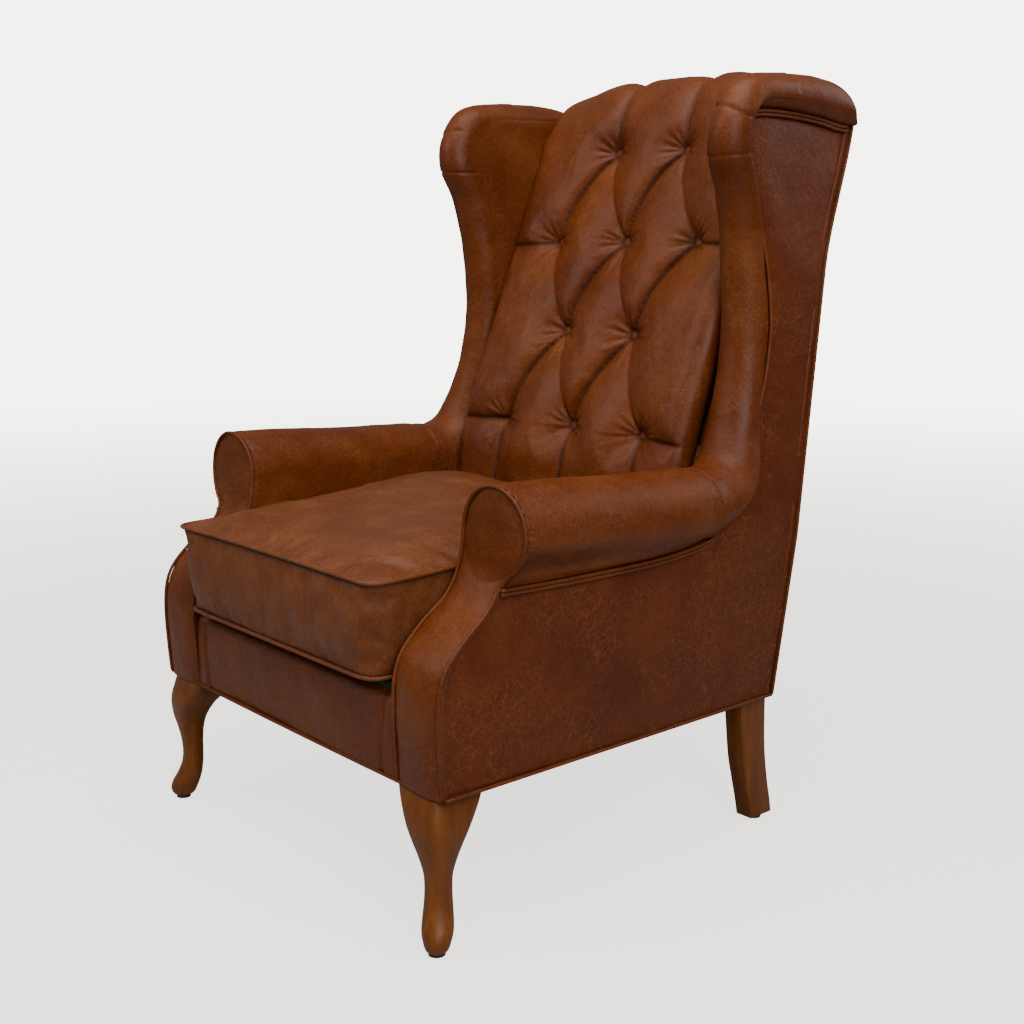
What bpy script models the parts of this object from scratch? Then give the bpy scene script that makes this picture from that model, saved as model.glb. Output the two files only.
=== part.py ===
"""High-back wing armchair with rolled arms, a deep-buttoned inside back and a loose seat cushion.

Metres, +Z up, and the chair faces -Y. Left and right are the sitter's own, so the left side is at +X.
Every piece is modelled with y measured back from the front face of the base, and hangs on the empty "armchair",
which puts the origin on the floor in the middle of the chair's plan.
"""

import math

import bmesh
import bpy
from mathutils import Matrix, Vector

# ---- driving dimensions ----
HALF_WIDTH = 0.370  # base, centre line to the outside panel's face at the front
BASE_DEPTH = 0.665  # front face of the base to the outside back, at the base
BASE_Z = 0.2165  # underside of the upholstered body
ORIGIN_DEPTH = 0.41025  # plan centre, behind the front face
GAP = 0.0004  # between pieces that touch

INNER_ARM_X = 0.272  # inside face of arm and wing
ROLL_X, ROLL_Z, ROLL_R = 0.339, 0.552, 0.064  # axis and radius of the arm roll
BACK_LEAN = 0.182  # run of the outside back for each metre up
SIDE_LEAN, SIDE_LEAN_Z = 0.0566, 0.472  # the outside panels lean in from this height up, by this run a metre
BUTTON_LEAN = 0.402  # run of the inside back for each metre up
BUTTON_ROWS = ((1.077, (-0.081, 0.081)), (0.924, (-0.162, 0, 0.162)),
               (0.772, (-0.081, 0.081)), (0.619, (-0.162, 0, 0.162)))
PUFF = 0.0366  # how far the inside back stands in front of its buttons, along y

FRAME_IN, FRAME_OUT = 0.299, 0.338  # the side frames' inner and outer faces
RAIL_TOP, RAIL_FOOT = 0.320, 0.2185
PANEL = 0.008  # outside panels and outside back
FACING = 0.0115  # padded strip on the front of each arm
CUSHION_LOW, CUSHION_HIGH = 0.355, 0.513
CUSHION_BACK = 0.510
PIPING_R, PIPING_INSET = 0.004, 0.0005  # radius, and distance in from the cushion's outermost faces
ZIP_Z = 0.4205
LEG_TOP = BASE_Z - GAP
GLIDE_H = 0.005

# The front of the arm seen from the side, as (depth, height): upright, swept back, and upright again at the scroll.
ARM_FRONT = ((0.000, BASE_Z), (-0.003, 0.300), (0.000, 0.362), (0.014, 0.400), (0.044, 0.432),
             (0.078, 0.456), (0.097, 0.480), (0.106, 0.508), (0.112, 0.545), (0.112, 0.620))
# The seam between the padding and the outside panel: under the roll, up behind the wing, and back along its top.
OUTER_SEAM = ((0.1265, 0.4735), (0.380, 0.4735), (0.465, 0.482), (0.508, 0.493), (0.542, 0.511), (0.566, 0.538),
              (0.590, 0.585), (0.600, 0.612), (0.612, 0.650), (0.633, 0.709), (0.647, 0.753), (0.652, 0.800),
              (0.648, 0.870), (0.635, 0.930), (0.615, 0.985), (0.597, 1.040), (0.590, 1.080), (0.594, 1.099),
              (0.610, 1.112), (0.655, 1.118), (0.750, 1.114), (0.822, 1.104))
# The front edge of the wing from the arm to its top corner, then back over the top and down behind.
WING_FRONT = ((0.556, 0.607), (0.5806, 0.670), (0.595, 0.727), (0.6014, 0.800), (0.599, 0.856), (0.5925, 0.930),
              (0.578, 1.000), (0.5555, 1.053), (0.5606, 1.110), (0.6144, 1.164))
TOP_ROLL = ((0.640, 1.170), (0.780, 1.173), (0.820, 1.168), (0.841, 1.150), (0.848, 1.130), (0.846, 1.1065))
CREST = (0.7716, 1.075, 0.8004, 1.1354)  # crest rail: front, foot, back, top
UPRIGHT_TOP = 1.135
UPRIGHT_TAPER = 0.017  # narrowing of the back uprights on their outer side, over their height
FRONT_LEG = ((0.0054, 0.0050, 0.0150, 0.0145, 2.0), (0.0150, 0.0055, 0.0205, 0.0175, 2.0),
             (0.0300, 0.0105, 0.0222, 0.0215, 2.0), (0.0450, 0.0180, 0.0205, 0.0212, 2.0),
             (0.0650, 0.0230, 0.0178, 0.0197, 1.9), (0.0850, 0.0244, 0.0171, 0.0189, 1.8),
             (0.1070, 0.0235, 0.0186, 0.0202, 1.7), (0.1300, 0.0225, 0.0228, 0.0265, 1.6),
             (0.1480, 0.0225, 0.0290, 0.0335, 1.5), (0.1690, 0.0280, 0.0380, 0.0430, 1.35),
             (0.1865, 0.0390, 0.0475, 0.0505, 1.22), (0.2020, 0.0510, 0.0550, 0.0560, 1.12),
             (LEG_TOP, 0.0590, 0.0590, 0.0590, 1.05))  # height, set-in, half depth, half width, squareness
BACK_LEG = ((0.0054, 0.6475, 0.6990, 0.3195), (0.0290, 0.6430, 0.6950, 0.3190), (0.0533, 0.6375, 0.6890, 0.3183),
            (0.0755, 0.6320, 0.6845, 0.3178), (0.1080, 0.6245, 0.6790, 0.3170), (0.1430, 0.6203, 0.6755, 0.3160),
            (0.1950, 0.6152, 0.6738, 0.3150), (LEG_TOP, 0.6140, 0.6736, 0.3147))  # height, front, back, inner face
BACK_LEG_OUT = 0.352

WOOD = ("beech", (0.62, 0.45, 0.28), 0.6)
LEG_WOOD = ("leg_stain", (0.25, 0.11, 0.03), 0.4)
LEATHER = ("brown_leather", (0.16, 0.055, 0.02), 0.45)
FOAM = ("foam", (0.85, 0.80, 0.62), 0.9)
CLOTH = ("black_cloth", (0.03, 0.03, 0.03), 0.95)
STEEL = ("zinc_steel", (0.60, 0.60, 0.62), 0.35)
PLASTIC = ("black_plastic", (0.02, 0.02, 0.02), 0.5)


# ---- helpers ----
def clear_scene():
    for obj in list(bpy.data.objects):
        bpy.data.objects.remove(obj, do_unlink=True)


def new_collection(name):
    collection = bpy.data.collections.new(name)
    bpy.context.scene.collection.children.link(collection)
    return collection


def material(finish):
    name, colour, roughness = finish
    mat = bpy.data.materials.get(name) or bpy.data.materials.new(name)
    mat.use_nodes = True
    shader = mat.node_tree.nodes["Principled BSDF"]
    shader.inputs["Base Color"].default_value = (*colour, 1)
    shader.inputs["Roughness"].default_value = roughness
    shader.inputs["Metallic"].default_value = 1.0 if finish is STEEL else 0.0
    return mat


def finish_piece(obj, finish, smooth_angle=35):
    """Files a mesh object under the chair, with its material and shading."""
    for owner in list(obj.users_collection):
        owner.objects.unlink(obj)
    chair.objects.link(obj)
    obj.parent = root
    obj.data.materials.clear()
    obj.data.materials.append(material(finish))
    obj.data.shade_smooth()
    obj.data.set_sharp_from_angle(angle=math.radians(smooth_angle))
    return obj


def mesh_object(name, bm):
    bmesh.ops.recalc_face_normals(bm, faces=bm.faces)
    mesh = bpy.data.meshes.new(name)
    bm.to_mesh(mesh)
    bm.free()
    obj = bpy.data.objects.new(name, mesh)
    bpy.context.scene.collection.objects.link(obj)
    return obj


def box(name, low, high):
    bm = bmesh.new()
    bmesh.ops.create_cube(bm, size=1)
    size = Vector(high) - Vector(low)
    bmesh.ops.scale(bm, vec=size, verts=bm.verts)
    bmesh.ops.translate(bm, vec=Vector(low) + size / 2, verts=bm.verts)
    return mesh_object(name, bm)


def rod(name, centre, radius, low, high, sides=12, top_radius=None):
    """Upright cylinder or cone about centre, an (x, y) pair."""
    bm = bmesh.new()
    bmesh.ops.create_cone(bm, cap_ends=True, segments=sides, radius1=radius,
                          radius2=radius if top_radius is None else top_radius, depth=high - low)
    bmesh.ops.translate(bm, vec=(*centre, (low + high) / 2), verts=bm.verts)
    return mesh_object(name, bm)


def curve_to_mesh(obj):
    """A curve's evaluated mesh with its caps welded, in place of the curve."""
    graph = bpy.context.evaluated_depsgraph_get()
    mesh = bpy.data.meshes.new_from_object(obj.evaluated_get(graph))
    mesh.transform(obj.matrix_world)
    name = obj.name
    bpy.data.objects.remove(obj)
    bm = bmesh.new()
    bm.from_mesh(mesh)
    bmesh.ops.remove_doubles(bm, verts=bm.verts, dist=1e-6)
    return mesh_object(name, bm)


def outline_curve(name, points, half_thickness, bevel=0.0, steps=2):
    data = bpy.data.curves.new(name, "CURVE")
    data.dimensions = "2D"
    data.fill_mode = "BOTH"
    data.extrude = half_thickness - bevel
    data.bevel_depth = bevel
    data.bevel_resolution = steps
    data.offset = -bevel
    spline = data.splines.new("POLY")
    spline.points.add(len(points) - 1)
    for point, (u, v) in zip(spline.points, points):
        point.co = (u, v, 0, 1)
    spline.use_cyclic_u = True
    obj = bpy.data.objects.new(name, data)
    bpy.context.scene.collection.objects.link(obj)
    return obj


def side_slab(name, points, x_low, x_high):
    """A flat piece cut to a (depth, height) outline, as thick as x_low to x_high."""
    obj = outline_curve(name, points, (x_high - x_low) / 2)
    obj.matrix_world = Matrix(((0, 0, 1, (x_low + x_high) / 2), (1, 0, 0, 0), (0, 1, 0, 0), (0, 0, 0, 1)))
    bpy.context.view_layer.update()
    return curve_to_mesh(obj)


def front_slab(name, points, y_low, y_high):
    """A flat piece cut to an (x, height) outline, as deep as y_low to y_high."""
    obj = outline_curve(name, points, (y_high - y_low) / 2)
    obj.matrix_world = Matrix(((1, 0, 0, 0), (0, 0, -1, (y_low + y_high) / 2), (0, 1, 0, 0), (0, 0, 0, 1)))
    bpy.context.view_layer.update()
    return curve_to_mesh(obj)


def plan_slab(name, points, z_low, z_high, bevel=0.0):
    """A flat piece cut to an (x, depth) outline, with its edges rounded by bevel."""
    obj = outline_curve(name, points, (z_high - z_low) / 2, bevel)
    obj.location.z = (z_low + z_high) / 2
    bpy.context.view_layer.update()
    return curve_to_mesh(obj)


def combine(obj, other, operation):
    """Applies one Boolean of other on obj, and removes other."""
    cut = obj.modifiers.new(operation.title(), "BOOLEAN")
    cut.operation = operation
    cut.object = other
    cut.solver = "EXACT"
    graph = bpy.context.evaluated_depsgraph_get()
    mesh = bpy.data.meshes.new_from_object(obj.evaluated_get(graph))
    obj.modifiers.clear()
    obj.data = mesh
    bpy.data.objects.remove(other)
    return obj


def round_edges(obj, width, segments=2, angle=50):
    bevel = obj.modifiers.new("Bevel", "BEVEL")
    bevel.width = width
    bevel.segments = segments
    bevel.limit_method = "ANGLE"
    bevel.angle_limit = math.radians(angle)
    graph = bpy.context.evaluated_depsgraph_get()
    mesh = bpy.data.meshes.new_from_object(obj.evaluated_get(graph))
    obj.modifiers.clear()
    obj.data = mesh
    return obj


def mirrored(obj, name):
    """The same piece for the other side of the chair."""
    bm = bmesh.new()
    bm.from_mesh(obj.data)
    bmesh.ops.scale(bm, vec=(-1, 1, 1), verts=bm.verts)
    bmesh.ops.reverse_faces(bm, faces=bm.faces)
    mesh = bpy.data.meshes.new(name)
    bm.to_mesh(mesh)
    bm.free()
    twin = bpy.data.objects.new(name, mesh)
    bpy.context.scene.collection.objects.link(twin)
    return twin


def add_pair(stem, obj, finish, smooth_angle=35):
    """Names the modelled left piece, and adds its right-hand twin."""
    obj.name = stem + "_left"
    finish_piece(mirrored(obj, stem + "_right"), finish, smooth_angle)
    finish_piece(obj, finish, smooth_angle)


def back_face(height):
    """Depth of the outside back's face at a height."""
    return BASE_DEPTH + BACK_LEAN * (height - BASE_Z)


def side_lean(height):
    """How far in the outside panel's face stands at a height."""
    return SIDE_LEAN * max(0, height - SIDE_LEAN_Z)


def button_face(height):
    """Depth of the sloping plane that the back buttons sit in."""
    return 0.5806 + BUTTON_LEAN * (height - 0.6184)


def shifted(points, dy, dz=0.0):
    return [(y + dy, z + dz) for y, z in points]


def loft(name, rings):
    """A closed body through rings of equally many points."""
    bm = bmesh.new()
    loops = []
    for ring in rings:
        verts = [bm.verts.new(point) for point in ring]
        edges = [bm.edges.new((verts[i - 1], verts[i])) for i in range(len(verts))]
        loops.append((verts, edges))
    for (_, lower), (_, upper) in zip(loops, loops[1:]):
        bmesh.ops.bridge_loops(bm, edges=lower + upper)
    bm.faces.new(loops[0][0])
    bm.faces.new(loops[-1][0])
    return mesh_object(name, bm)


# ---- hardwood frame ----
def seat_rails():
    front_inner, back_inner = 0.037, 0.605
    finish_piece(box("front_rail", (-FRAME_IN, 0.012 + GAP, RAIL_FOOT), (FRAME_IN, front_inner, RAIL_TOP)), WOOD)
    finish_piece(box("back_rail", (-FRAME_IN + GAP, back_inner, RAIL_FOOT),
                     (FRAME_IN - GAP, back_inner + 0.027, RAIL_TOP)), WOOD)
    rail = box("side_rail", (FRAME_IN + 0.001, 0.0505, RAIL_FOOT), (FRAME_OUT, 0.607, RAIL_TOP))
    add_pair("side_rail", rail, WOOD)
    corner, reach = FRAME_IN - GAP, 0.070
    for stem, edge, way in (("front_corner_block", front_inner + GAP, 1), ("back_corner_block", back_inner - GAP, -1)):
        outline = [(corner, edge), (corner - reach, edge), (corner, edge + way * reach)]
        add_pair(stem, plan_slab(stem, outline, 0.235, 0.300), WOOD)


def arm_frames():
    front = [(y + FACING + 0.001, max(z, RAIL_FOOT)) for y, z in ARM_FRONT if z < 0.6] + [(0.1245, 0.585)]
    back = [(0.160, 0.585), (0.160, 0.500), (0.145, 0.460), (0.110, 0.420), (0.075, 0.385), (0.050, 0.350),
            (0.050, RAIL_FOOT)]
    post = side_slab("front_post", front + back, FRAME_IN + 0.001, 0.345)
    combine(post, rod("bolt_hole", FRONT_BOLT, BOLT_HOLE_R, 0.15, BOLT_TOP + 0.001), "DIFFERENCE")
    add_pair("front_post", post, WOOD)
    rail = box("arm_rail", (FRAME_IN + 0.001, 0.1604, 0.500), (FRAME_OUT, 0.6585, 0.5245))
    add_pair("arm_rail", rail, WOOD)


def upright_front(height):
    return back_face(height) - 0.057


def upright_back(height):
    return back_face(height) - PANEL - 0.001


def back_frame():
    foot, top = RAIL_FOOT, UPRIGHT_TOP
    outline = [(upright_front(foot), foot), (upright_back(foot), foot), (upright_back(top), top),
               (upright_front(top), top)]
    upright = side_slab("back_upright", outline, FRAME_IN, FRAME_OUT)
    for vert in upright.data.vertices:
        if vert.co.x > FRAME_IN + 0.01:
            vert.co.x -= UPRIGHT_TAPER * (vert.co.z - foot) / (top - foot)
    combine(upright, rod("bolt_hole", BACK_BOLT, BOLT_HOLE_R, 0.15, BOLT_TOP + 0.001), "DIFFERENCE")
    add_pair("back_upright", upright, WOOD)
    y0, z0, y1, z1 = CREST
    finish_piece(box("crest_rail", (-FRAME_IN + GAP, y0, z0), (FRAME_IN - GAP, y1, z1)), WOOD)
    finish_piece(box("lower_back_rail", (-FRAME_IN, 0.5580, 0.485), (FRAME_IN, 0.5830, 0.5245)), WOOD)
    wing = [(y + 0.0015, z) for y, z in OUTER_SEAM if 0.53 < z < 1.105 and y < 0.7]
    wing = [(0.5605, 0.5255)] + wing[:-1] + [(0.615, 1.105), (0.660, 1.110)]
    wing += [(upright_front(1.110) - GAP, 1.110), (upright_front(0.5255) - GAP, 0.5255)]
    add_pair("wing_frame", side_slab("wing_frame", wing, FRAME_IN + 0.001, 0.320), WOOD)


# ---- legs ----
FRONT_BOLT, BACK_BOLT = (0.323, 0.031), (0.327, 0.636)
BOLT_R, BOLT_HOLE_R = 0.0040, 0.0045
BOLT_FOOT, BOLT_TOP = 0.170, 0.262


def diamond_ring(height, set_in, half_depth, half_width, squareness, sides=16):
    """A rounded diamond about the leg's centre line, with a corner towards the chair's own corner."""
    inward, across = Vector((-1, 1, 0)).normalized(), Vector((1, 1, 0)).normalized()
    centre = Vector((0.355, 0.000, height)) + inward * set_in
    ring = []
    for i in range(sides):
        angle = 2 * math.pi * i / sides
        c, s = math.cos(angle), math.sin(angle)
        reach = (abs(c) ** squareness + abs(s) ** squareness) ** (-1 / squareness)
        ring.append(centre + inward * (c * reach * half_depth) + across * (s * reach * half_width))
    return ring


def legs():
    front = loft("front_leg", [diamond_ring(*section) for section in FRONT_LEG])
    combine(front, rod("bolt_hole", FRONT_BOLT, BOLT_HOLE_R, BOLT_FOOT - 0.001, 0.25), "DIFFERENCE")
    add_pair("front_leg", front, LEG_WOOD, 50)
    rings = [[(inner, y0, z), (BACK_LEG_OUT, y0, z), (BACK_LEG_OUT, y1, z), (inner, y1, z)]
             for z, y0, y1, inner in BACK_LEG]
    back = loft("back_leg", rings)
    combine(back, rod("bolt_hole", BACK_BOLT, BOLT_HOLE_R, BOLT_FOOT - 0.001, 0.25), "DIFFERENCE")
    add_pair("back_leg", back, LEG_WOOD)
    for stem, centre, bolt in (("front", (0.3515, 0.0035), FRONT_BOLT), ("back", (0.336, 0.673), BACK_BOLT)):
        add_pair(stem + "_glide", rod("glide", centre, 0.012, 0, GLIDE_H, 16), PLASTIC)
        add_pair(stem + "_leg_bolt", rod("leg_bolt", bolt, BOLT_R, BOLT_FOOT, BOLT_TOP), STEEL)


# ---- seat platform ----
def seat_platform():
    low, high = RAIL_TOP + GAP, RAIL_TOP + 0.0022
    across = [box("strap", (-FRAME_IN, y, low), (FRAME_IN, y + 0.050, high)) for y in (0.075, 0.195, 0.315, 0.435)]
    along = [box("strap", (x - 0.025, 0.016, low + 0.0002), (x + 0.025, 0.628, high + 0.0002))
             for x in (-0.180, -0.060, 0.060, 0.180)]
    webbing = across.pop(0)
    for strap in along + across:
        combine(webbing, strap, "UNION")
    webbing.name = "seat_webbing"
    finish_piece(webbing, CLOTH)
    deck = box("seat_deck", (-INNER_ARM_X + 0.0008, 0.0135, RAIL_TOP + 0.0034), (INNER_ARM_X - 0.0008, 0.602, 0.3505))
    finish_piece(deck, CLOTH)
    dust_cover = box("dust_cover", (-0.350, 0.014, BASE_Z + 0.0001), (0.350, BASE_DEPTH - 0.010, RAIL_FOOT - GAP))
    for x, y in (FRONT_BOLT, BACK_BOLT):
        for side in (-1, 1):
            combine(dust_cover, rod("bolt_hole", (side * x, y), BOLT_HOLE_R, 0.20, 0.23), "DIFFERENCE")
    finish_piece(dust_cover, CLOTH)
    border = box("front_border", (-INNER_ARM_X + 0.001, 0.0005, BASE_Z), (INNER_ARM_X - 0.001, 0.0118, 0.345))
    finish_piece(border, LEATHER)


# ---- arm and wing upholstery ----
def arm_facing():
    outline = list(ARM_FRONT) + shifted(reversed(ARM_FRONT), FACING)
    strip = side_slab("arm_facing", outline, 0.25, 0.42)
    scroll = [(ROLL_X + ROLL_R * math.cos(a), ROLL_Z + ROLL_R * math.sin(a))
              for a in (math.radians(-50 + 230 * i / 14) for i in range(15))]
    keyhole = [(INNER_ARM_X, 0.20), (HALF_WIDTH - 0.0005, 0.20), (HALF_WIDTH - 0.0005, 0.470), *scroll,
               (INNER_ARM_X, 0.530)]
    combine(strip, front_slab("keyhole", keyhole, -0.05, 0.20), "INTERSECT")
    add_pair("arm_facing", strip, LEATHER)


def arm_pad():
    front, back = 0.1245, 0.620
    roll = rod("roll", (0, 0), ROLL_R, front, back, 28)
    roll.data.transform(Matrix(((1, 0, 0, ROLL_X), (0, 0, 1, 0), (0, -1, 0, ROLL_Z), (0, 0, 0, 1))))
    seam = [(y - 0.0015, z) for y, z in OUTER_SEAM if z < 0.60]
    keep = [(0.10, 0.4735), (0.10, 0.66), (0.5535, 0.66), (0.5535, 0.6055), (0.5955, 0.6055), *reversed(seam[1:])]
    combine(roll, side_slab("keep", keep, 0.25, 0.42), "INTERSECT")
    inner = box("inner", (INNER_ARM_X, front, 0.335), (FRAME_IN - GAP, 0.519, 0.556))
    combine(roll, inner, "UNION")
    combine(roll, box("rail_slot", (FRAME_IN + 0.0005, 0.10, 0.4995), (FRAME_OUT + 0.0005, 0.70, 0.5250)), "DIFFERENCE")
    combine(roll, box("post_slot", (FRAME_IN + 0.0005, 0.10, 0.45), (0.3455, 0.1605, 0.5855)), "DIFFERENCE")
    add_pair("arm_pad", roll, LEATHER)


def crest_channel(back, foot, clearance=0.001):
    """The way over the crest rail, from behind it to in front of it."""
    front, _, _, top = CREST
    front, back, top = front - clearance, back + clearance, top + clearance
    return [(back, foot), (back, top), (front, top), (front, foot)]


def wing_pad():
    rear = [(button_face(z) + 0.012, z) for z in (1.060, 0.607)]
    pad = side_slab("wing_pad", [*WING_FRONT, *TOP_ROLL, *rear], INNER_ARM_X, 0.350)
    round_edges(pad, 0.013)
    seam = [(y, z) for y, z in OUTER_SEAM if z > 0.55]
    behind = [(0.560, 0.550), *seam[:-1], (0.815, 1.1070), (0.950, 1.1070), (0.950, 0.550)]
    combine(pad, side_slab("behind", behind, FRAME_IN - GAP, 0.40), "DIFFERENCE")
    channel = [(0.900, 1.040), (0.900, 1.1065), *crest_channel(upright_back(UPRIGHT_TOP), 1.1065)]
    channel[-1] = (channel[-1][0], 1.040)
    combine(pad, side_slab("channel", channel, 0.25, FRAME_OUT - UPRIGHT_TAPER + 0.002), "DIFFERENCE")
    add_pair("wing_pad", pad, LEATHER)


def outside_panel():
    """Leather-covered board over arm and wing, upright as far as the arm and leaning in above it."""
    front = [(y + FACING + 0.001, z) for y, z in ARM_FRONT if z < 0.47]
    seam = [(y + 0.0015, z - 0.0015) for y, z in OUTER_SEAM[1:]]
    outline = [*front, (0.1265, 0.472), *seam, (back_face(1.10), 1.100), (back_face(BASE_Z), BASE_Z)]
    panel = side_slab("outside_panel", outline, HALF_WIDTH - PANEL, HALF_WIDTH)
    bm = bmesh.new()
    bm.from_mesh(panel.data)
    bmesh.ops.bisect_plane(bm, geom=[*bm.verts, *bm.edges, *bm.faces], plane_co=(0, 0, SIDE_LEAN_Z),
                           plane_no=(0, 0, 1))
    for vert in bm.verts:
        vert.co.x -= side_lean(vert.co.z)
    bm.to_mesh(panel.data)
    bm.free()
    add_pair("outside_panel", panel, LEATHER)


# ---- back ----
def back_pad():
    front = [(0.5210, 0.362), (0.5210, 0.560)] + [(button_face(z) - PUFF, z) for z in (0.640, 0.860, 1.090, 1.150)]
    over = [(0.775, 1.183), (0.803, 1.199), (0.828, 1.190), (0.843, 1.166), (0.848, 1.135), (0.846, 1.1065)]
    channel = crest_channel(CREST[2], 1.1065)
    rear = [(button_face(z) + 0.012, z) for z in (1.060, 0.560)] + [(0.548, 0.500), (0.548, 0.362)]
    half = INNER_ARM_X - 0.001
    pad = side_slab("back_pad", [*front, *over, *channel, *rear], -half, half)
    for number, (x, z) in enumerate(button_places(), 1):
        combine(pad, facing_back(rod("dimple", (0, 0), 0.0125, -0.002, 0.05, 12, 0.034), x, z), "DIFFERENCE")
        button = facing_back(rod("button", (0, 0), 0.0112, -0.0015, 0.0045, 12, 0.008), x, z)
        button.name = f"back_button_{number:02d}"
        finish_piece(button, LEATHER)
    finish_piece(pad, LEATHER)


def button_places():
    return [(x, z) for z, row in BUTTON_ROWS for x in row]


def facing_back(obj, x, z):
    """Turns a piece made on +Z to stand out of the inside back at (x, z)."""
    lean = math.atan(BUTTON_LEAN)
    turn = Matrix.Rotation(math.pi / 2 - lean, 4, "X")
    obj.data.transform(Matrix.Translation((x, button_face(z), z)) @ turn)
    return obj


def outside_back():
    """Leather-covered board between the outside panels, narrowing and leaning as they do."""
    half = HALF_WIDTH - PANEL - 0.0005
    edge = [(half - side_lean(z), z) for z in (BASE_Z, SIDE_LEAN_Z, 1.1055)]
    outline = edge + [(-x, z) for x, z in reversed(edge)]
    back = front_slab("outside_back", outline, BASE_DEPTH - PANEL + 0.0005, BASE_DEPTH - 0.0005)
    for vert in back.data.vertices:
        vert.co.y += BACK_LEAN * (vert.co.z - BASE_Z)
    finish_piece(back, LEATHER)


# ---- loose cushion ----
def cushion_outline(inset=0.0, corner=0.016, corner_steps=4):
    """Plan of the cushion: nearly square, with round corners."""
    half, front, back = 0.261 - inset, -0.024 + inset, CUSHION_BACK - inset
    radius = max(corner - inset, 0.004)
    points = []
    for cx, cy, start in ((half - radius, front + radius, -90), (half - radius, back - radius, 0),
                          (-half + radius, back - radius, 90), (-half + radius, front + radius, 180)):
        for i in range(corner_steps + 1):
            a = math.radians(start + 90 * i / corner_steps)
            points.append((cx + radius * math.cos(a), cy + radius * math.sin(a)))
    return points


def cushion_ring(name, height, inset):
    data = bpy.data.curves.new(name, "CURVE")
    data.dimensions = "3D"
    data.bevel_depth = PIPING_R
    data.bevel_resolution = 1
    spline = data.splines.new("POLY")
    points = cushion_outline(inset)
    spline.points.add(len(points) - 1)
    for point, (x, y) in zip(spline.points, points):
        point.co = (x, y, height, 1)
    spline.use_cyclic_u = True
    obj = bpy.data.objects.new(name, data)
    bpy.context.scene.collection.objects.link(obj)
    bpy.context.view_layer.update()
    return curve_to_mesh(obj)


def cushion():
    wall, clear = 0.0025, 0.0010
    cover = plan_slab("cushion_cover", cushion_outline(), CUSHION_LOW, CUSHION_HIGH, 0.0125)
    hollow = plan_slab("hollow", cushion_outline(wall), CUSHION_LOW + wall, CUSHION_HIGH - wall, 0.0105)
    slot = box("slot", (-0.200, CUSHION_BACK - 0.01, ZIP_Z - 0.007), (0.200, CUSHION_BACK + 0.01, ZIP_Z + 0.007))
    combine(cover, combine(hollow, slot, "UNION"), "DIFFERENCE")
    finish_piece(cover, LEATHER)
    inset = wall + clear
    core = plan_slab("cushion_core", cushion_outline(inset), CUSHION_LOW + inset, CUSHION_HIGH - inset, 0.0095)
    finish_piece(core, FOAM)
    for name, height in (("cushion_bottom_piping", CUSHION_LOW + PIPING_INSET),
                         ("cushion_top_piping", CUSHION_HIGH - PIPING_INSET)):
        finish_piece(cushion_ring(name, height, PIPING_INSET), LEATHER)
    tape = box("cushion_zip", (-0.1995, CUSHION_BACK - wall + GAP, ZIP_Z - 0.0066),
               (0.1995, CUSHION_BACK - GAP, ZIP_Z + 0.0066))
    finish_piece(tape, PLASTIC)
    slider = box("zip_slider", (-0.190, CUSHION_BACK + GAP, ZIP_Z - 0.005),
                 (-0.178, CUSHION_BACK + 0.0034, ZIP_Z + 0.005))
    pull = box("pull", (-0.187, CUSHION_BACK + 0.0012, ZIP_Z - 0.027), (-0.181, CUSHION_BACK + 0.0028, ZIP_Z))
    combine(slider, pull, "UNION")
    finish_piece(slider, STEEL)


clear_scene()
chair = new_collection("armchair_parts")
root = bpy.data.objects.new("armchair", None)
bpy.context.scene.collection.objects.link(root)
root.location.y = -ORIGIN_DEPTH

seat_rails()
arm_frames()
back_frame()
legs()
seat_platform()
arm_facing()
arm_pad()
wing_pad()
outside_panel()
back_pad()
outside_back()
cushion()
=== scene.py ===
import math
from bisect import bisect_right

import bmesh
import bpy
from mathutils import Matrix, Vector, noise


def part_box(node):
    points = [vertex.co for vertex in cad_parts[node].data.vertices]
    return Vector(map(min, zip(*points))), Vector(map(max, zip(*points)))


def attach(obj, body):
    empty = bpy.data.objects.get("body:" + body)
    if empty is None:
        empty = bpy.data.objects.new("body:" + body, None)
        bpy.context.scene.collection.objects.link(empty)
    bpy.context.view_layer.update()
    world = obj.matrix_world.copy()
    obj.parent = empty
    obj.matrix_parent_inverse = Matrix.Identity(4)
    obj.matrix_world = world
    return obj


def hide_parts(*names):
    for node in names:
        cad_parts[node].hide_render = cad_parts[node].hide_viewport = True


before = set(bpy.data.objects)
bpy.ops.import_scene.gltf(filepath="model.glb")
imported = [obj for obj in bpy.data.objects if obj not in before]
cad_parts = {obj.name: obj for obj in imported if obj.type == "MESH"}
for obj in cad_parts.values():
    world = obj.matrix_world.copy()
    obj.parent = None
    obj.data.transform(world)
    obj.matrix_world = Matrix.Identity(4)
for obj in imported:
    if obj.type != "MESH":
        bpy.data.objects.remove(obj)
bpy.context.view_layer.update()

# Everything is placed from the frame. Depth is measured back from the front of the border under the cushion,
# height from the floor, and the sitter's left side is at +X.
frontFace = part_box("front_border")[0].y
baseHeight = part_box("front_border")[0].z
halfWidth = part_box("outside_panel_left")[1].x
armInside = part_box("arm_facing_left")[0].x
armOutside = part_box("arm_facing_left")[1].x
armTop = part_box("arm_facing_left")[1].z
rollRadius = 0.064
rollCentre = (armOutside - rollRadius, armTop - rollRadius)  # x and height


def at(x, depth, height):
    return Vector((x, frontFace + depth, height))


def mix(a, b, t):
    return a + (b - a) * t


def smooth(low, high, value):
    t = min(1.0, max(0.0, (value - low) / (high - low)))
    return t * t * (3 - 2 * t)


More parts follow.
